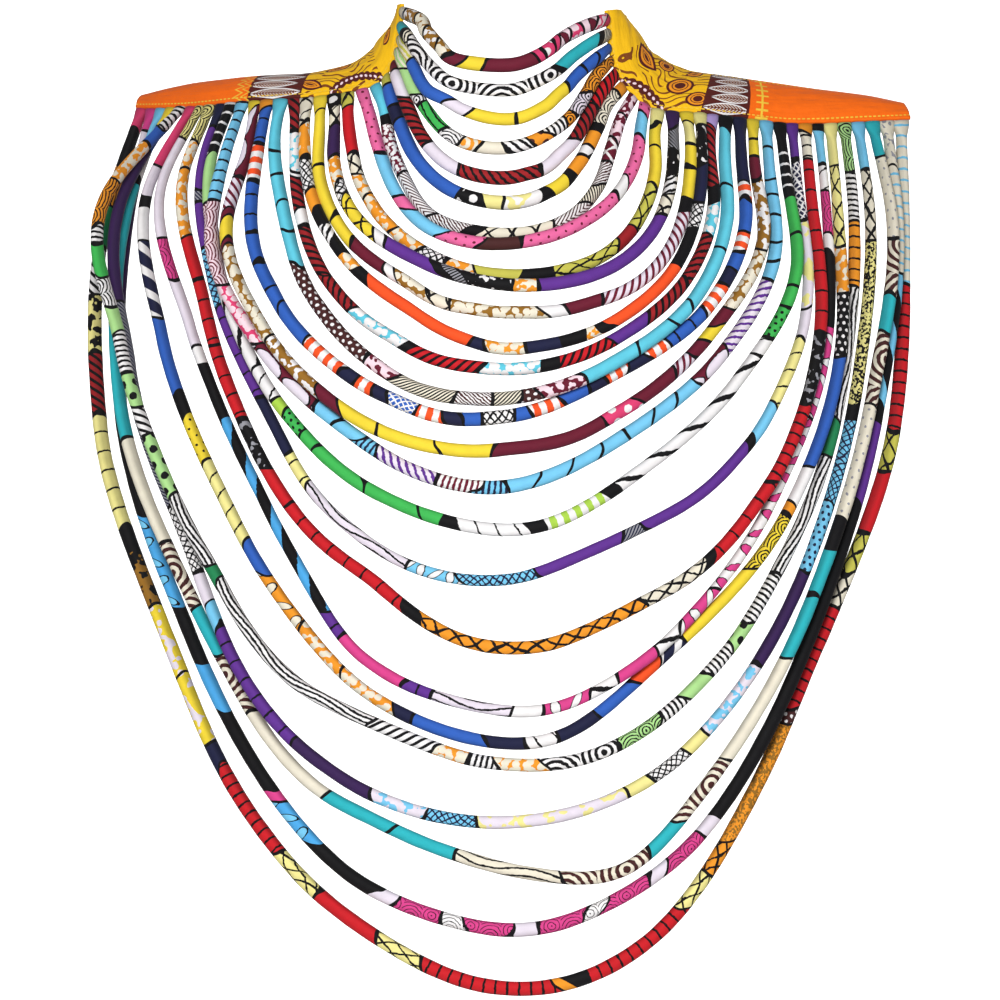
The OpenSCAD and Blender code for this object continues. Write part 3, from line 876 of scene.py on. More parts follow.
# Each strand's print from its left end: a cloth, and where each patch of it ends, in hundredths
# of the length. A dark line parts the patches.
prints = """
creamBlotched 4, whiteBrown 13, brownBlotched 23, whiteBrown 31, brownBlotched 35, maroon 40,
yellow 47, maroon 63, crimson 66, pinkSpots 70, crimson 73, pinkStrokes 79, pinkBlotched 85,
pinkStrokes 91, pinkBlotched 97, crimson 100;
teal 9, ink 12, creamLines 16, whiteRings 71, ink 73, teal 91.5, ink 94, whiteHatch 100;
oliveStreaks 15, blue 35, paper 42, yellow 56 75, blue 84.5 91 100;
greenStreaks 10, paleGreen 20, whiteArcs 24, greenCurves 34, whiteArcs 40, orangeRings 45,
cream 52, whiteBackSlant 59, orangeDot 65, whiteBars 71, orangeCurls 75, greyCurls 84,
orangeCurls 100;
maroon 4, paper 13, redSlant 29, paper 40, redBackSlant 61, paper 74, redSlant 86, brightSlant 100;
olive 3, blue 9, navy 14, blue 40, inkDrops 46, paleYellow 51, yellowBlocks 60, ink 62, yellow 68,
ink 70, orange 76, whiteStrokes 79, orange 84, ink 86, creamCurls 97, orange 100;
turquoise 8, ink 10, maroonFeather 23, whiteFeather 35, backFeather 43, ink 46, creamLines 61,
whiteFeather 70, whiteHatch 76, backFeather 82, maroonWhite 87, maroonBlocks 94, maroonDots 100;
pinkDots 15, skyBlue 26, pink 30, skyBlue 39, pinkDots 46.5, darkBrown 54, pinkDots 76, white 80,
pinkDots 91, skyBlue 97, pinkDots 100;
oliveNet 3, red 12, creamNet 16, orangeBlocks 21, creamOrange 29, orangeBlocks 35, inkCross 40,
creamOrange 45, olive 53, ink 58, oliveNet 70, darkRed 75, oliveNet 84, yellow 92 97,
paleYellow 100;
inkDrops 3, creamNet 6, darkPurple 12, creamOrange 17, inkCross 20, yellowLines 28, white 30,
purple 39, ink 41, inkComb 44, inkShapes 51, creamOrange 55, purple 80, creamNet 84,
whiteBackSlant 88, inkShapes 92, inkComb 97, darkPurple 100;
yellow 2.5 11 20 25, maroon 31, white 33, brownBlotched 39, creamLines 42, brownBlotched 55,
white 58, maroon 63, maroonSlant 83, ink 85, yellow 90 94, paleYellow 98, yellow 100;
creamLines 4, creamOrange 9, inkCross 14, orange 17, ink 19, whiteBackSlant 22, ink 24,
orangeBlocks 27, ink 29, redOrange 45, navy 47, orangeBlocks 52, navy 57, ink 60, creamOrange 62,
ink 63.5, redOrange 76, ink 82, inkCross 86, navy 92, inkShapes 98, paleYellow 100;
redSlant 4, turquoiseSwirl 9, white 10, redSlant 15, white 17, redSlant 24, redBackSlant 30,
turquoiseSwirl 38, ink 39, brightSlant 48, turquoiseSwirl 55, ink 57, brightSlant 64, purple 69,
redSlant 76, redBackSlant 83, turquoiseSwirl 88, ink 90, redSlant 98, lilac 100;
turquoise 6 9 13 16 20, inkDots 35, maroonBlocks 39, whiteHatch 46, backFeather 50, whiteHatch 53,
inkDots 55, maroonBlocks 60, turquoise 67 72 75 83 91 98, ink 100;
orange 1, blueBars 5, orangeStripes 9, blueBars 15, blue 18.5 22 25 29, orangeStripes 34, navy 36,
orangeStripes 38, navy 40, blueCross 43, orangeStripes 46, navy 48, blue 50, inkCross 53,
blue 54.5, orangeStripes 58, blue 61, navy 63, orangeStripes 66, navy 68, orangeStripes 71,
blueBars 76, orangeStripes 80, navy 82, blue 84, orangeStripes 86.5, blue 90, orangeStripes 92,
navy 100;
yellow 1, maroonLeaf 8, maroonSlant 12, maroon 13, yellow 15, maroon 16, brownBlotched 26,
whiteBrown 33, maroon 36, yellow 40 46 51, maroon 62, pinkSpots 66, maroon 70, maroonSlant 73,
maroon 75, yellow 77, maroon 79, brownBlotched 86, whiteBrown 94, maroon 96, yellow 98 100;
skyBars 10, maroonRings 18, pinkBlotched 25, maroonLeaf 33, skyBlue 35.5 38, navyBars 40,
purpleSlant 46, maroonBars 50, navyBars 52, skyBlue 55 58 61 63.7 66.5 69.3 72, maroonLeaf 76,
purpleSlant 84, skyBlue 86 88.2 90.3 92.4 94.5 97 100;
inkBars 5, paleGreen 9, maroonRings 16, whiteStrokes 25, whiteThin 28, lime 29.5, greenDots 32,
green 33.5 38.7 44 46, ink 47, whiteThin 53, ink 54, limeBars 60, ink 61, whiteStrokes 78,
whiteThin 80, greenDots 83, green 85 89.5 93, inkBars 98, ink 100;
navy 2, purple 7, navyComb 8, purple 12, skyNet 17, purpleBars 25, navy 30, yellowBars 33,
lilacLines 43, tealNet 47, skyNet 53, purple 60, navyComb 62, purple 72, ink 73, skyBlue 76,
yellowSlant 82, paper 85, lilacYellow 92, navyNet 97, purple 100;
yellowCurls 3, orangeBlocks 5, creamOrange 10, red 13, redBars 18 24, inkCurls 28, red 31,
redBars 42, ink 43.5, orangeNet 60, creamNet 65, ink 66, redBars 73, redCloseBars 79, inkCurls 84,
redBars 97, creamBars 99, orange 100;
yellowCurls 2, paper 9, magentaLeaves 12, paper 17, white 18, ink 22, blueSlant 37, purpleBars 39,
magenta 44, purpleBars 46, lilacLines 51, white 53, magentaStrokes 56, whiteStrokes 58, magenta 61,
whiteStrokes 63, magentaStrokes 67, whiteMagenta 80, magentaStrokes 86, ink 91, white 92,
magentaLeaves 95, whiteThin 97, skyBlue 99.5, ink 100;
crimson 4, paper 6, ink 7, white 9, navySlant 14, blue 19.5, ink 21, yellowDots 24, yellowSlant 30,
blue 32, orangeStrokes 36, creamOrange 40, orangeBlocks 44, navy 45, blue 50, navy 52,
whiteThin 54, navy 57, blue 60, redOrange 62, navySlant 64, yellow 70, yellowRings 74, orange 75,
white 77.5, blue 85, inkDiamonds 89, creamOrange 92, yellowNet 97, paleYellow 100;
whiteBars 1.5, blue 3, creamOrange 6, orangeCurls 9, whiteBars 10, green 12, whiteArcs 14,
paleGreen 16, whiteBars 18, greenSpots 20, whiteSlant 22, greenSpots 26, longLines 30.5,
darkGreen 31.8, longLines 44, whiteSlant 48, orangeBlocks 50, whiteBars 51.5, orangeBlocks 54,
whiteRings 58.5, greenRings 61, whiteBars 63, paleGreen 65, whiteBars 67, greenSpots 69,
whiteBars 72, longLines 80, darkGreen 82, longLines 90, orangeBars 94, whiteBars 97,
greenRings 100;
yellow 1, blue 3, darkPurple 12, navyComb 24, inkCross 28, paper 30, skyBlue 31.5, purpleBars 39,
darkPurple 44, blueBlocks 47, skyNet 50, lilacYellow 58, paleYellow 59.5, inkCross 62,
paleYellow 63.5, blueBlocks 68, darkPurple 74, blueDots 78, skyNet 83, ink 84, yellowSpeckle 93,
creamNet 97, skyBlue 100;
skyBlue 2, white 4, teal 10, ink 12, teal 18, cream 24, creamRings 28, teal 30.5, creamRings 34,
cream 40, teal 44 47.5, creamLong 53, creamRings 57.5, teal 60, creamRings 64, cream 70,
teal 73.5 76.5, ink 78, creamDots 84, creamRings 88, teal 90, creamRings 93, creamDots 98,
teal 100;
magenta 1, paper 3, darkPurple 10, ink 21, tealStrokes 26, ink 29, brightBlue 32, ink 36.5,
magenta 37.2, tealStrokes 40, ink 44, paper 45, magentaLeaves 47.3, whiteCurls 48.6,
magentaLeaves 51, paper 52.2, magentaLeaves 54.4, whiteCurls 55.5, magentaLeaves 58, paper 59.2,
magentaLeaves 61.6, paper 62.8, ink 80, purple 84, ink 85, skySlant 92, skyCreamBars 97,
creamBlotched 100;
crimson 1, ink 3, orangeCurls 5, darkGreen 7, whiteSlant 9, redBlocks 12, redSlant 15,
yellowBars 21, ink 22, leafBlocks 25, paleBars 28.5 32, navy 33.5, redCloseBars 38, yellowNet 41,
red 44.5, yellowNet 46.5, redCloseBars 53, orange 53.6, ink 54.4, redCloseBars 60, yellowNet 62,
orangeNet 64, orangeSpeckle 70, inkDots 71, redCloseBars 76, creamNet 78, oliveNet 80, red 83,
oliveNet 85, redCloseBars 92, skyCreamBars 100
""".split(";")

clothPlace = buildClothPlace()
printFigure = buildFigure()
printedCotton = buildCotton()


# The patches of a print, each as the place where it ends and its cloth.
def patches(order):
    rows = []
    for patch in order.split(","):
        cloth, *ends = patch.split()
        rows += [(float(end), cloth) for end in ends]
    return rows


# The material of one printed cloth. The last argument is how far to each side of its front the
# cloth gets no painted shade.
def printMaterial(name, order, length, lean, seed, outline, pucker, clean):
    material, tree = newMaterial(name)
    spot = place(
        tree, clothPlace, Map=clothUv(tree), Length=length, Lean=lean, Seed=seed, Outline=outline
    )
    a, b = spot["Along"], spot["Around"]
    ends = [end for end, _ in patches(order)]
    rows = [cloths.get(cloth, (cloth, cloth, *plainCloth)) for _, cloth in patches(order)]
    ground, _ = heldRamp(spot["Place"], ends, [linear(row[0]) for row in rows])
    ink, _ = heldRamp(spot["Place"], ends, [linear(row[1]) for row in rows])
    planned = []
    for _, _, kind, pitch, leaning, share in rows:
        leaning = (leaning + plan["leans"] / 2) / plan["leans"]
        number = kinds.index(kind) / plan["kinds"]
        planned.append((number, pitch / plan["pitches"], leaning, share))
    planned, share = heldRamp(spot["Place"], ends, planned)
    turns = [(i % 2,) * 3 + (1,) for i in range(len(ends))]
    before, _ = heldRamp(spot["Before"], ends, turns)
    after, _ = heldRamp(spot["After"], ends, turns)
    drawn = place(tree, printFigure, Along=a, Around=b, Plan=planned, Share=share, Seed=seed)
    colour = {"Ground": ground, "Figure": ink, "Mask": drawn["Mask"]}
    colour["Outline"] = most(abs(before - after), drawn["Edge"])
    # Puckers, and the painted shade at the sides and near the ends.
    wear = {"Pucker": pucker, "Clean": clean, "FromEnd": calc("MINIMUM", a, length - a)}
    finish = place(tree, printedCotton, Along=a, Around=b, Seed=seed, **colour, **wear)
    return finishCloth(material, finish, finish["Height"], cotton["bump"], cotton["shine"])


# The strands: soft filled tubes of printed cotton, each with its own unevenness.
strandCloth = {
    "sides": 24,
    "step": 2.2,
    "slack": 1.035,  # share of the solid's thickness that the cloth takes
    "uneven": 0.06,  # how much the thickness wanders
    "swells": (90, 41, 19),  # over which lengths it wanders
    "unshadedShare": 0.42,  # how far round from the front the cloth has no painted shade, in thicknesses
    "rootWidth": 1.12,  # how much wider a strand is pressed where it is sewn in
    "pinch": 0.78,  # share of its depth that a strand keeps where it is sewn in
    "pinchLength": 14,
    "swellShare": 0.11,  # share of its length over which a strand swells to its free thickness
    "pucker": 0.5,
    "lean": 0.45,  # most that the boundaries of a print lean
    "firstSeed": 700,
    "printSeed": 7.3,
}


def makeStrand(k):
    line, distances, across, out, wide, deep = strandFrames(k, strandCloth["step"])
    rng = random.Random(strandCloth["firstSeed"] + k)
    swell = np.zeros(len(line))
    for wave in strandCloth["swells"]:
        swell += np.sin(distances / wave * 2 * np.pi + rng.uniform(0, 6.28)) / 3
    size = strandCloth["slack"] * (1 - strandCloth["uneven"] * (1 - swell) / 2)
    sides = strandCloth["sides"]
    turns = -np.pi / 2 + 2 * np.pi * np.arange(sides + 1) / sides
    cosines = np.cos(turns[:sides])[None, :, None]
    sines = np.sin(turns[:sides])[None, :, None]
    rings = (
        line[:, None, :]
        + across[:, None, :] * (wide * size)[:, None, None] * cosines
        + out[:, None, :] * (deep * size)[:, None, None] * sines
    )
    thick = strands[k][11]
    around = (turns - np.pi / 2) * thick / 2
    number = f"{k + 1:02d}"
    piece = tube(f"strand{number}", rings, distances, around)
    material = printMaterial(
        f"print{number}",
        prints[k],
        float(distances[-1]),
        rng.uniform(-strandCloth["lean"], strandCloth["lean"]),
        k * strandCloth["printSeed"],
        cotton["outline"],
        strandCloth["pucker"],
        thick * strandCloth["unshadedShare"],
    )
    piece.data.materials.append(material)
    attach(piece, "root")
    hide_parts(f"strand_{number}")


for k in range(strandCount):
    makeStrand(k)
print("strands made:", strandCount)


# The shoulder bands: padded, crowned strips with a sewn channel inside each edge.
band = {
    "sides": 25,  # points across one face
    "step": 0.08,  # of a section
    "edgeRound": 1.5,
    "edgeOut": 0.93,  # how far the cloth goes past the seam and the back edge, in half thicknesses
    "backOut": 0.55,
    "fullness": 0.98,
    "archFrom": 36,  # width at which a band is fully arched
    "lookAhead": 0.3,  # how much of a section gives the band's direction, to each side
    "channelIn": 2.3,
    "channelDeep": 0.45,
    "channelWide": 0.7,
    "creaseDeep": 0.4,  # soft folds that run along the band
    "creaseApart": 9,
    "creaseFromEdge": 5,
    "swayFar": 0.45,  # how far the folds sway, as a share of their distance, and how often
    "swayOften": 0.9,
    "ruffleFar": 0.2,
    "ruffleOften": 2.3,
    "ruffleAcross": 11,
    "fade": 0.4,  # how much the folds fade in places, and how often
    "fadeOften": 1.3,
    "foldLong": 0.04,  # scale of the small folds, along and across
    "foldAcross": 0.22,
    "foldHigh": 2.4,
    "foldSeed": 3.3,
    "seed": 8.6,
    "pucker": 0.5,
    "clean": 100,  # so far that no painted shade is laid at the sides or ends
    "bump": 0.6,
    "shine": 0.3,
}
leafing = {  # as shares that reach 1 at a shape's edge
    "line": 1.05,
    "lineHalf": 0.22,
    "inner": 0.42,
    "innerHalf": 0.06,
    "middle": 0.2,
}
waving = {
    "swing": 1.8,
    "swingEvery": 0.22,
    "drift": 26,
    "driftScale": 0.055,
    "apart": 4.6,
    "thick": 0.26,
    "broken": 0.4,
    "breakScale": 0.12,
    "breakSeed": 9,
}
feathering = {
    "wide": 7.5,
    "stagger": 3,
    "outline": 0.98,
    "vane": 0.76,
    "quill": 0.035,
    "barb": 0.72,
    "barbsApart": 1.9,
    "barbLean": 9,
    "border": 1.8,
}
ribboning = {
    "halfWide": 2.4,
    "ends": 1.02,  # of half its length
    "scallops": 0.75,
    "scallopDeep": 1.2,
    "dotsApart": 3.2,
    "dotSize": 0.9,
}
sewing = {
    "thread": 0.42,
    "stitch": 0.62,  # share of a stitch that shows
    "stitchesApart": 2.9,
    "zigzag": 2.6,
    "zigzagThick": 0.75,
    "echoApart": 5,
    "echoThick": 0.6,
    "spineThick": 0.7,
    "tick": 0.26,
    "ticksApart": 5,
    "tickReach": 4,
    "high": 0.5,
}

# How each band's cloth is laid out, in millimetres along it from the collar tip and up from its
# front edge. Slant is how far the boundaries lean back for each millimetre up. A shape is given
# as along, up, half length, half width, turn, and 1 for pointed ends.
bandPrints = {
    "left": {
        "feathers": (90, 124),
        "slant": -0.25,
        "waves": {"From": 40, "To": 92, "Seed": 4.2},
        "ribbon": {"From": 39, "To": 73, "Arc": 9},
        "stitches": {"AtAlong": 131, "Crossed": 0},
        "shapes": [(84, 9, 7, 4, 0.5, 1), (66, 25, 8, 3.5, -0.3, 1), (22, 12, 6, 3, 0.2, 1)],
    },
    "right": {
        "feathers": (84, 111),
        "slant": 0.02,
        "waves": {"From": 26, "To": 86, "Seed": 4.2},
        "ribbon": {"From": 40, "To": 66, "Arc": 7},
        "stitches": {"AtAlong": 119, "Crossed": 1},
        "shapes": [
            (37, 24, 11, 5.5, 0, 1), (51, 35, 6, 5, 0.3, 0), (69, 20, 7, 7, -0.3, 0),
            (81, 9, 5.5, 5, 0.2, 0), (74, 36, 6, 4, 0.4, 1),
        ],
    },
}


# A leaf or an oval at a place on the cloth: its filling, its outline and its dark middle.
def buildShape():
    tree, (along, up, atAlong, atUp, halfLong, halfWide, turn, pointed) = newGroup(
        "clothShape", "Along Up AtAlong AtUp HalfLong HalfWide Turn Pointed", "Filling Line Middle"
    )
    x = along - atAlong
    y = up - atUp
    c = calc("COSINE", turn)
    s = sine(turn)
    shareX = abs((x * c + y * s) / halfLong)
    shareY = abs((y * c - x * s) / halfWide)
    far = calc("POWER", shareX, 2) + calc("POWER", shareY, 2 - pointed)
    outer = near(far, leafing["line"], leafing["lineHalf"])
    inner = near(far, leafing["inner"], leafing["innerHalf"])
    middle = far < leafing["middle"]
    return finishGroup(tree, Filling=far < 1, Line=most(outer, inner), Middle=middle)


# The wavy brown lines of the yellow cloth, between two places along it.
def buildWaves():
    tree, (along, up, start, end, seed) = newGroup("clothWaves", "Along Up From To Seed", "Line")
    swing = sine(along * waving["swingEvery"]) * waving["swing"]
    drift = noise(along, up, waving["driftScale"], 1, seed) * waving["drift"]
    thin = fract((up + swing + drift) / waving["apart"]) < waving["thick"]
    inside = (along > start) * (along < end)
    broken = noise(along, up, waving["breakScale"], 0, waving["breakSeed"]) > waving["broken"]
    return finishGroup(tree, Line=thin * inside * broken)


# Long feathers side by side between two places along the cloth.
def buildFeathers():
    tree, (along, up, start, end) = newGroup(
        "clothFeathers", "Along Up From To", "Feather Vane Quill"
    )
    row = up / feathering["wide"]
    stagger = calc("PINGPONG", calc("FLOOR", row), 1) * feathering["stagger"]
    x = (along - stagger - (start + end) / 2) / ((end - start) / 2)
    y = abs(fract(row) - 0.5)
    far = y / 0.5 + x * x
    barbs = fract((along + y * feathering["barbLean"]) / feathering["barbsApart"])
    return finishGroup(
        tree,
        Feather=far < feathering["outline"],
        Vane=(far < feathering["vane"]) * (barbs < feathering["barb"]),
        Quill=y < feathering["quill"],
    )


# An arched ribbon with a scalloped edge and a row of dots.
def buildRibbon():
    tree, (along, up, start, end, arc) = newGroup(
        "clothRibbon", "Along Up From To Arc", "Ribbon Dots"
    )
    x = (along - (start + end) / 2) / ((end - start) / 2)
    off = up - (1 - x * x) * arc
    scallop = abs(sine(along * ribboning["scallops"]))
    reach = timesPlus(scallop, ribboning["scallopDeep"], ribboning["halfWide"])
    inside = abs(x) < ribboning["ends"]
    ribbon = (abs(off) < reach) * inside
    gap = (fract(along / ribboning["dotsApart"]) - 0.5) * ribboning["dotsApart"]
    dots = (gap * gap + off * off < ribboning["dotSize"]) * ribbon
    return finishGroup(tree, Ribbon=ribbon, Dots=dots)


# Sewing thread: a running stitch inside each edge, and a zigzag or crossed seam over the cloth.
def buildStitches():
    tree, (along, up, fromEdge, atAlong, crossed) = newGroup(
        "clothStitches", "Along Up FromEdge AtAlong Crossed", "Thread Height"
    )
    inChannel = near(fromEdge, band["channelIn"], sewing["thread"])
    hem = inChannel * (fract(along / sewing["stitchesApart"]) < sewing["stitch"])
    x = along - atAlong
    zag = calc("PINGPONG", up, sewing["zigzag"])
    swing = timesPlus(zag, 2, -sewing["zigzag"])
    zigzag = near(x, swing, sewing["zigzagThick"])
    echo = near(x + sewing["echoApart"], swing, sewing["echoThick"])
    spine = near(x, 0, sewing["spineThick"])
    ticks = fract(up / sewing["ticksApart"]) < sewing["tick"]
    ticks = (abs(x) < sewing["tickReach"]) * ticks
    seam = most(zigzag, echo) * (1 - crossed)
    seam = most(seam, most(spine, ticks) * crossed)
    thread = most(hem, seam)
    return finishGroup(tree, Thread=thread, Height=thread * sewing["high"])


clothShape = buildShape()
clothWaves = buildWaves()
clothFeathers = buildFeathers()
clothRibbon = buildRibbon()
clothStitches = buildStitches()


# The printed cloth of one band.
def bandMaterial(side):
    layout = bandPrints[side]
    material, tree = newMaterial(f"{side}BandCloth")
    along, up = clothSpot(clothUv(tree))
    edge = tree.nodes.new("ShaderNodeAttribute")
    edge.attribute_name = "fromEdge"
    slanted = along - up * layout["slant"]
    straight = {"Along": along, "Up": up}
    leaning = {"Along": slanted, "Up": up}

    waves = place(tree, clothWaves, **straight, **layout["waves"])
    colour = layered(linear("bandYellow"), (waves["Line"], "bandBrown"))
    for row in layout["shapes"]:
        labels = ("AtAlong", "AtUp", "HalfLong", "HalfWide", "Turn", "Pointed")
        marks = place(tree, clothShape, **straight, **dict(zip(labels, row)))
        dark = most(marks["Line"], marks["Middle"])
        colour = layered(colour, (marks["Filling"], "bandAmber"), (dark, "bandDark"))
    ribbon = place(tree, clothRibbon, **straight, **layout["ribbon"])
    colour = layered(colour, (ribbon["Ribbon"], "bandDark"), (ribbon["Dots"], "pinkWhite"))
    start, end = layout["feathers"]
    feathers = place(tree, clothFeathers, **leaning, From=start, To=end)
    colour = blend(
        slanted > start,
        colour,
        layered(
            linear("bandDark"),
            (feathers["Feather"], "white"),
            (feathers["Vane"], "bandBrown"),
            (feathers["Quill"], "bandDark"),
        ),
    )
    stitches = place(
        tree, clothStitches, **leaning, **layout["stitches"], FromEdge=Wire(edge.outputs["Fac"])
    )
    colour = layered(
        colour,
        (slanted > end - feathering["border"], "bandDark"),
        (slanted > end, "bandOrange"),
        (stitches["Thread"], "bandThread"),
    )
    whole = {"Ground": colour, "Figure": colour, "Seed": band["seed"]}
    # No painted shade at the band's sides or ends.
    whole |= {"Pucker": band["pucker"], "Clean": band["clean"], "FromEnd": band["clean"]}
    finish = place(tree, printedCotton, Along=along, Around=up, **whole)
    creases = noise(along * band["foldLong"], up * band["foldAcross"], 1, 2, band["foldSeed"])
    folded = timesPlus(creases, band["foldHigh"], stitches["Height"])
    return finishCloth(material, finish, finish["Height"] + folded, band["bump"], band["shine"])


def makeBand(side, sections, node):
    rows = np.asarray(sections, float)
    knots = range(len(rows))
    places = np.arange(0, len(rows) - 1 + 1e-6, band["step"])
    front = through(knots, rows[:, :3], places)
    back = through(knots, rows[:, 3:], places)
    ahead = through(knots, rows[:, :3], np.minimum(places + band["lookAhead"], len(rows) - 1))
    behind = through(knots, rows[:, :3], np.maximum(places - band["lookAhead"], 0))
    down = unit(front - back)
    up = unit(np.cross(down, ahead - behind)) * (-1 if side == "left" else 1)
    width = np.linalg.norm(front - back, axis=1)
    arch = necklace["bandArch"] * eased(width / band["archFrom"])
    count = band["sides"]
    share = (1 - np.cos(np.pi * np.arange(count) / (count - 1))) / 2
    rings = []
    inward = []
    for i, spot in enumerate(places):
        reach = width[i] + bandHalf * band["edgeOut"] + bandHalf * band["backOut"]
        at = -bandHalf * band["edgeOut"] + share * reach
        fromEdge = np.minimum(share, 1 - share) * reach
        rounding = 1 - np.minimum(1, fromEdge / band["edgeRound"])
        rounding = np.sqrt(np.maximum(0, 1 - rounding**2))
        channel = np.exp(-(((fromEdge - band["channelIn"]) / band["channelWide"]) ** 2))
        ruffle = np.sin(spot * band["ruffleOften"] + at / band["ruffleAcross"])
        folds = at / band["creaseApart"] + band["swayFar"] * np.sin(spot * band["swayOften"])
        folds = folds + band["ruffleFar"] * ruffle
        crease = band["creaseDeep"] * (0.5 + 0.5 * np.sin(2 * np.pi * folds))
        crease = crease * (1 - band["fade"] + band["fade"] * np.sin(spot * band["fadeOften"]))
        crease = crease * eased(fromEdge / band["creaseFromEdge"])
        half = bandHalf * band["fullness"] * rounding - band["channelDeep"] * channel - crease
        q = np.clip(at / width[i], 0, 1)
        crown = (arch[i] * 4 * q * (1 - q))[:, None]
        middle = front[i] - down[i] * at[:, None] + up[i] * crown
        top = middle + up[i] * half[:, None]
        bottom = middle - up[i] * half[:, None]
        rings.append(np.concatenate([top, bottom[-2:0:-1]]))
        inward.append(np.concatenate([fromEdge, fromEdge[-2:0:-1]]))
    lengths = measured((front + back) / 2)
    around = np.concatenate([share, share[-2:0:-1], share[:1]]) * width[:, None]
    piece = tube(f"{side}ShoulderBand", np.array(rings), lengths, around)
    inward = np.ravel(inward)
    fromEdge = np.zeros(len(piece.data.vertices))
    fromEdge[: inward.size] = inward
    attribute = piece.data.attributes.new("fromEdge", "FLOAT", "POINT")
    attribute.data.foreach_set("value", fromEdge)
    piece.data.materials.append(bandMaterial(side))
    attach(piece, "root")
    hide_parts(node)


makeBand("left", leftSections, "left_shoulder_band")
makeBand("right", rightSections, "right_shoulder_band")
print("shoulder bands made")


# The neck straps round the back of the neck, each from its collar tip to the clasp.
strap = {
    "fullHigh": 0.97,  # share of the solid's height and thickness that the cloth takes
    "fullThick": 0.95,
    "corners": 36,
    "square": 0.35,  # lower is squarer
    "points": 61,
    "faceFrom": 8,  # how far back the point lies that the strap faces away from
    "seed": 5.5,
    "pucker": 0.6,
    "clean": 100,  # so far that no painted shade is laid at the sides
}
neckLine = strandPoints(0, seated(0, 0), seated(0, 2), np.linspace(0, 2, 81))[::4]


def makeStrap(side, across, back, node):
    last = math.acos((necklace["claspWide"] / 2 + necklace["seatGap"]) / across)
    turns = np.linspace(0, last, strap["points"])
    x = side * across * np.cos(turns)
    y = back + (necklace["napeDepth"] - back) * np.sin(turns)
    z = np.interp(x, neckLine[:, 0], neckLine[:, 2]) + necklace["strapLift"] * np.sin(turns)
    line = np.stack([x, y, z], axis=-1)
    forward = unit(np.gradient(line, axis=0))
    forward[0] = (0, 1, 0)
    forward[-1] = (-side, 0, 0)
    out = line * (1, 1, 0) - (0, strap["faceFrom"], 0)
    out = unit(out - dot(out, forward) * forward)
    up = np.cross(forward, out)
    angles = 2 * np.pi * np.arange(strap["corners"]) / strap["corners"]
    cosines, sines = (
        np.sign(wave) * np.abs(wave) ** strap["square"] for wave in (np.cos(angles), np.sin(angles))
    )
    high = necklace["strapHigh"] / 2 * strap["fullHigh"] * cosines
    deep = necklace["strapThick"] / 2 * strap["fullThick"] * sines
    rings = (
        line[:, None, :]
        + up[:, None, :] * high[None, :, None]
        + out[:, None, :] * deep[None, :, None]
    )
    name = "leftNeckStrap" if side < 0 else "rightNeckStrap"
    lengths = measured(line)
    piece = tube(name, rings, lengths, np.concatenate([high, high[:1]]))
    # The strap's cloth gets the painted shade near both of its ends.
    material = printMaterial(
        f"{name}Cloth",
        "strapCloth 100",
        float(lengths[-1]),
        0,
        strap["seed"],
        0,
        strap["pucker"],
        strap["clean"],
    )
    piece.data.materials.append(material)
    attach(piece, "root")
    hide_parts(node)


makeStrap(-1, 64.5, 6.9, "left_neck_strap")
makeStrap(1, 73.5, 7.2, "right_neck_strap")
print("neck straps made")


# The hidden fastening keeps its solid and gets a brushed metal finish.
metal = {
    "brush": (60, 2400, 2400),  # how fast the grain changes along, back and up
    "smoothest": 0.25,
    "rougher": 0.25,
    "bump": 0.2,
    "deep": 0.0002,
}


def metalMaterial():
    material, tree = newMaterial("claspMetal")
    coords = tree.nodes.new("ShaderNodeTexCoord")
    spot = Wire(coords.outputs["Object"])
    stretch = newNode(tree, "Mapping", Vector=spot, Scale=metal["brush"])
    grain = newNode(tree, "TexNoise", Vector=Wire(stretch.outputs[0]), Scale=1, Detail=3)
    grain = Wire(grain.outputs["Fac"])
    colour = blend(grain, linear("steel"), linear("brightSteel"))
    rough = timesPlus(grain, metal["rougher"], metal["smoothest"])
    return finishMaterial(
        material, colour, rough, grain, metal["bump"], metal["deep"], {"Metallic": 1}
    )


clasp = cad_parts["back_clasp"]
clasp.data.materials.clear()
clasp.data.materials.append(metalMaterial())
print("clasp finished")


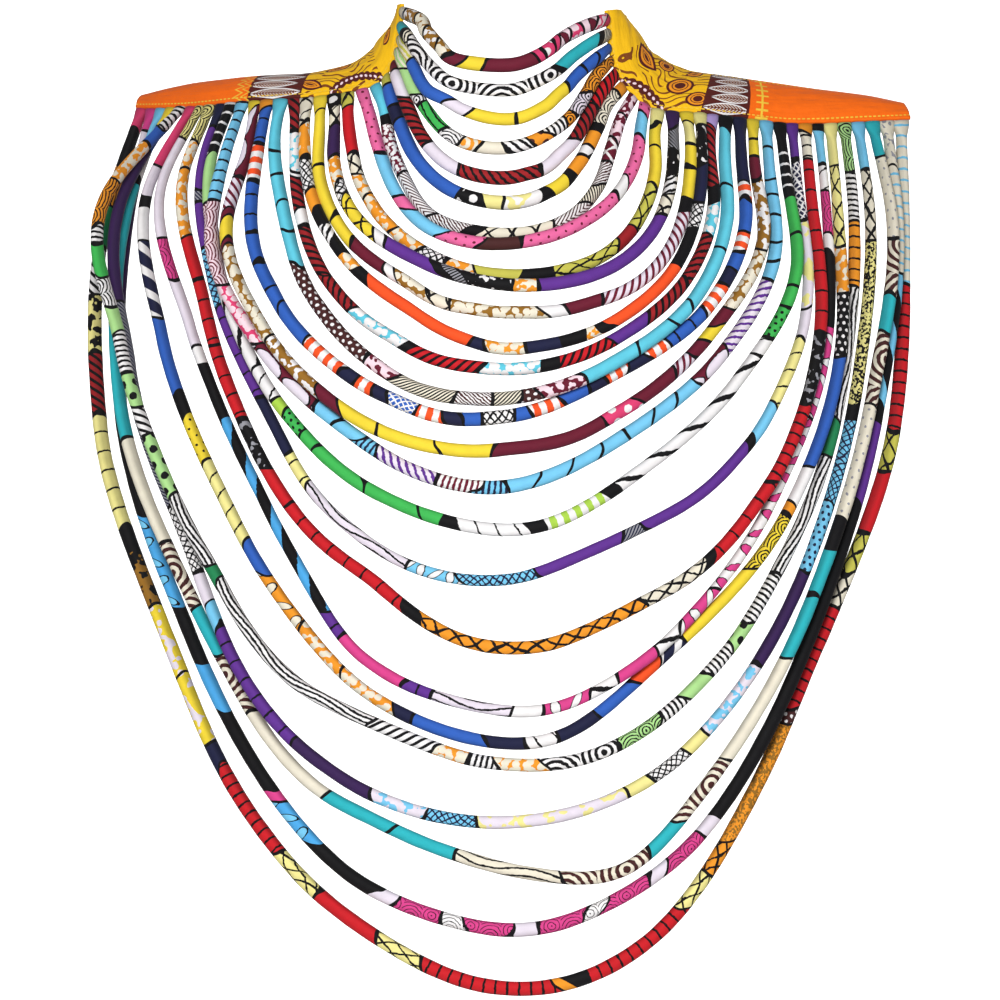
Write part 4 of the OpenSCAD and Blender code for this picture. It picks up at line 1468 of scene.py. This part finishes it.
# Floor and backdrop in one pale sweep, and soft studio light.
studio = {
    "floorFront": -2.5,
    "floorUp": -1.5,
    "wallBack": 14,
    "wallUp": 1.6,
    "halfWide": 2.4,
    "bendRadius": 1,
    "bendSteps": 16,
    "paper": 0.93,
    "paperRoughness": 0.9,
    "world": 0.2,
    "lights": [  # name, place, what it points at, size, power
        ("keyLight", (-0.5, -3.4, 0.9), (0, 0, -0.25), 1.2, 106),
        ("fillLight", (1.8, -2.6, 0.2), (0, 0, -0.25), 1.8, 12),
        ("backLight", (0.9, 3.4, 0.5), (0, 0, -0.25), 1.6, 38),
        ("wallLight", (0, 10, 2.3), (0, 14, -0.3), 2.4, 360),
    ],
}


def makeSweep():
    radius = studio["bendRadius"]
    profile = [(studio["floorFront"], studio["floorUp"])]
    for i in range(studio["bendSteps"] + 1):
        angle = math.radians(-90 + 90 * i / studio["bendSteps"])
        back = studio["wallBack"] - radius + radius * math.cos(angle)
        profile.append((back, studio["floorUp"] + radius + radius * math.sin(angle)))
    profile.append((studio["wallBack"], studio["wallUp"]))
    points = [(x, y, z) for x in (-studio["halfWide"], studio["halfWide"]) for y, z in profile]
    n = len(profile)
    faces = [(i, i + n, i + n + 1, i + 1) for i in range(n - 1)]
    floor = newPiece("floor", points, faces)
    material, tree = newMaterial("floorPaper")
    shader = tree.nodes["Principled BSDF"]
    shader.inputs["Base Color"].default_value = (studio["paper"],) * 3 + (1,)
    shader.inputs["Roughness"].default_value = studio["paperRoughness"]
    floor.data.materials.append(material)


def addLight(name, location, target, size, power):
    data = bpy.data.lights.new(name, "AREA")
    data.shape = "SQUARE"
    data.size = size
    data.energy = power
    light = bpy.data.objects.new(name, data)
    light.location = location
    way = np.array(target) - np.array(location)
    tilt = math.acos(-way[2] / np.linalg.norm(way))
    light.rotation_euler = (tilt, 0, math.atan2(way[1], way[0]) - math.pi / 2)
    bpy.context.scene.collection.objects.link(light)


makeSweep()
for row in studio["lights"]:
    addLight(*row)
world = bpy.data.worlds.new("studio")
world.use_nodes = True
world.node_tree.nodes["Background"].inputs["Color"].default_value = (1, 1, 1, 1)
world.node_tree.nodes["Background"].inputs["Strength"].default_value = studio["world"]
bpy.context.scene.world = world
bpy.context.scene.view_settings.view_transform = "Standard"
print("studio set")
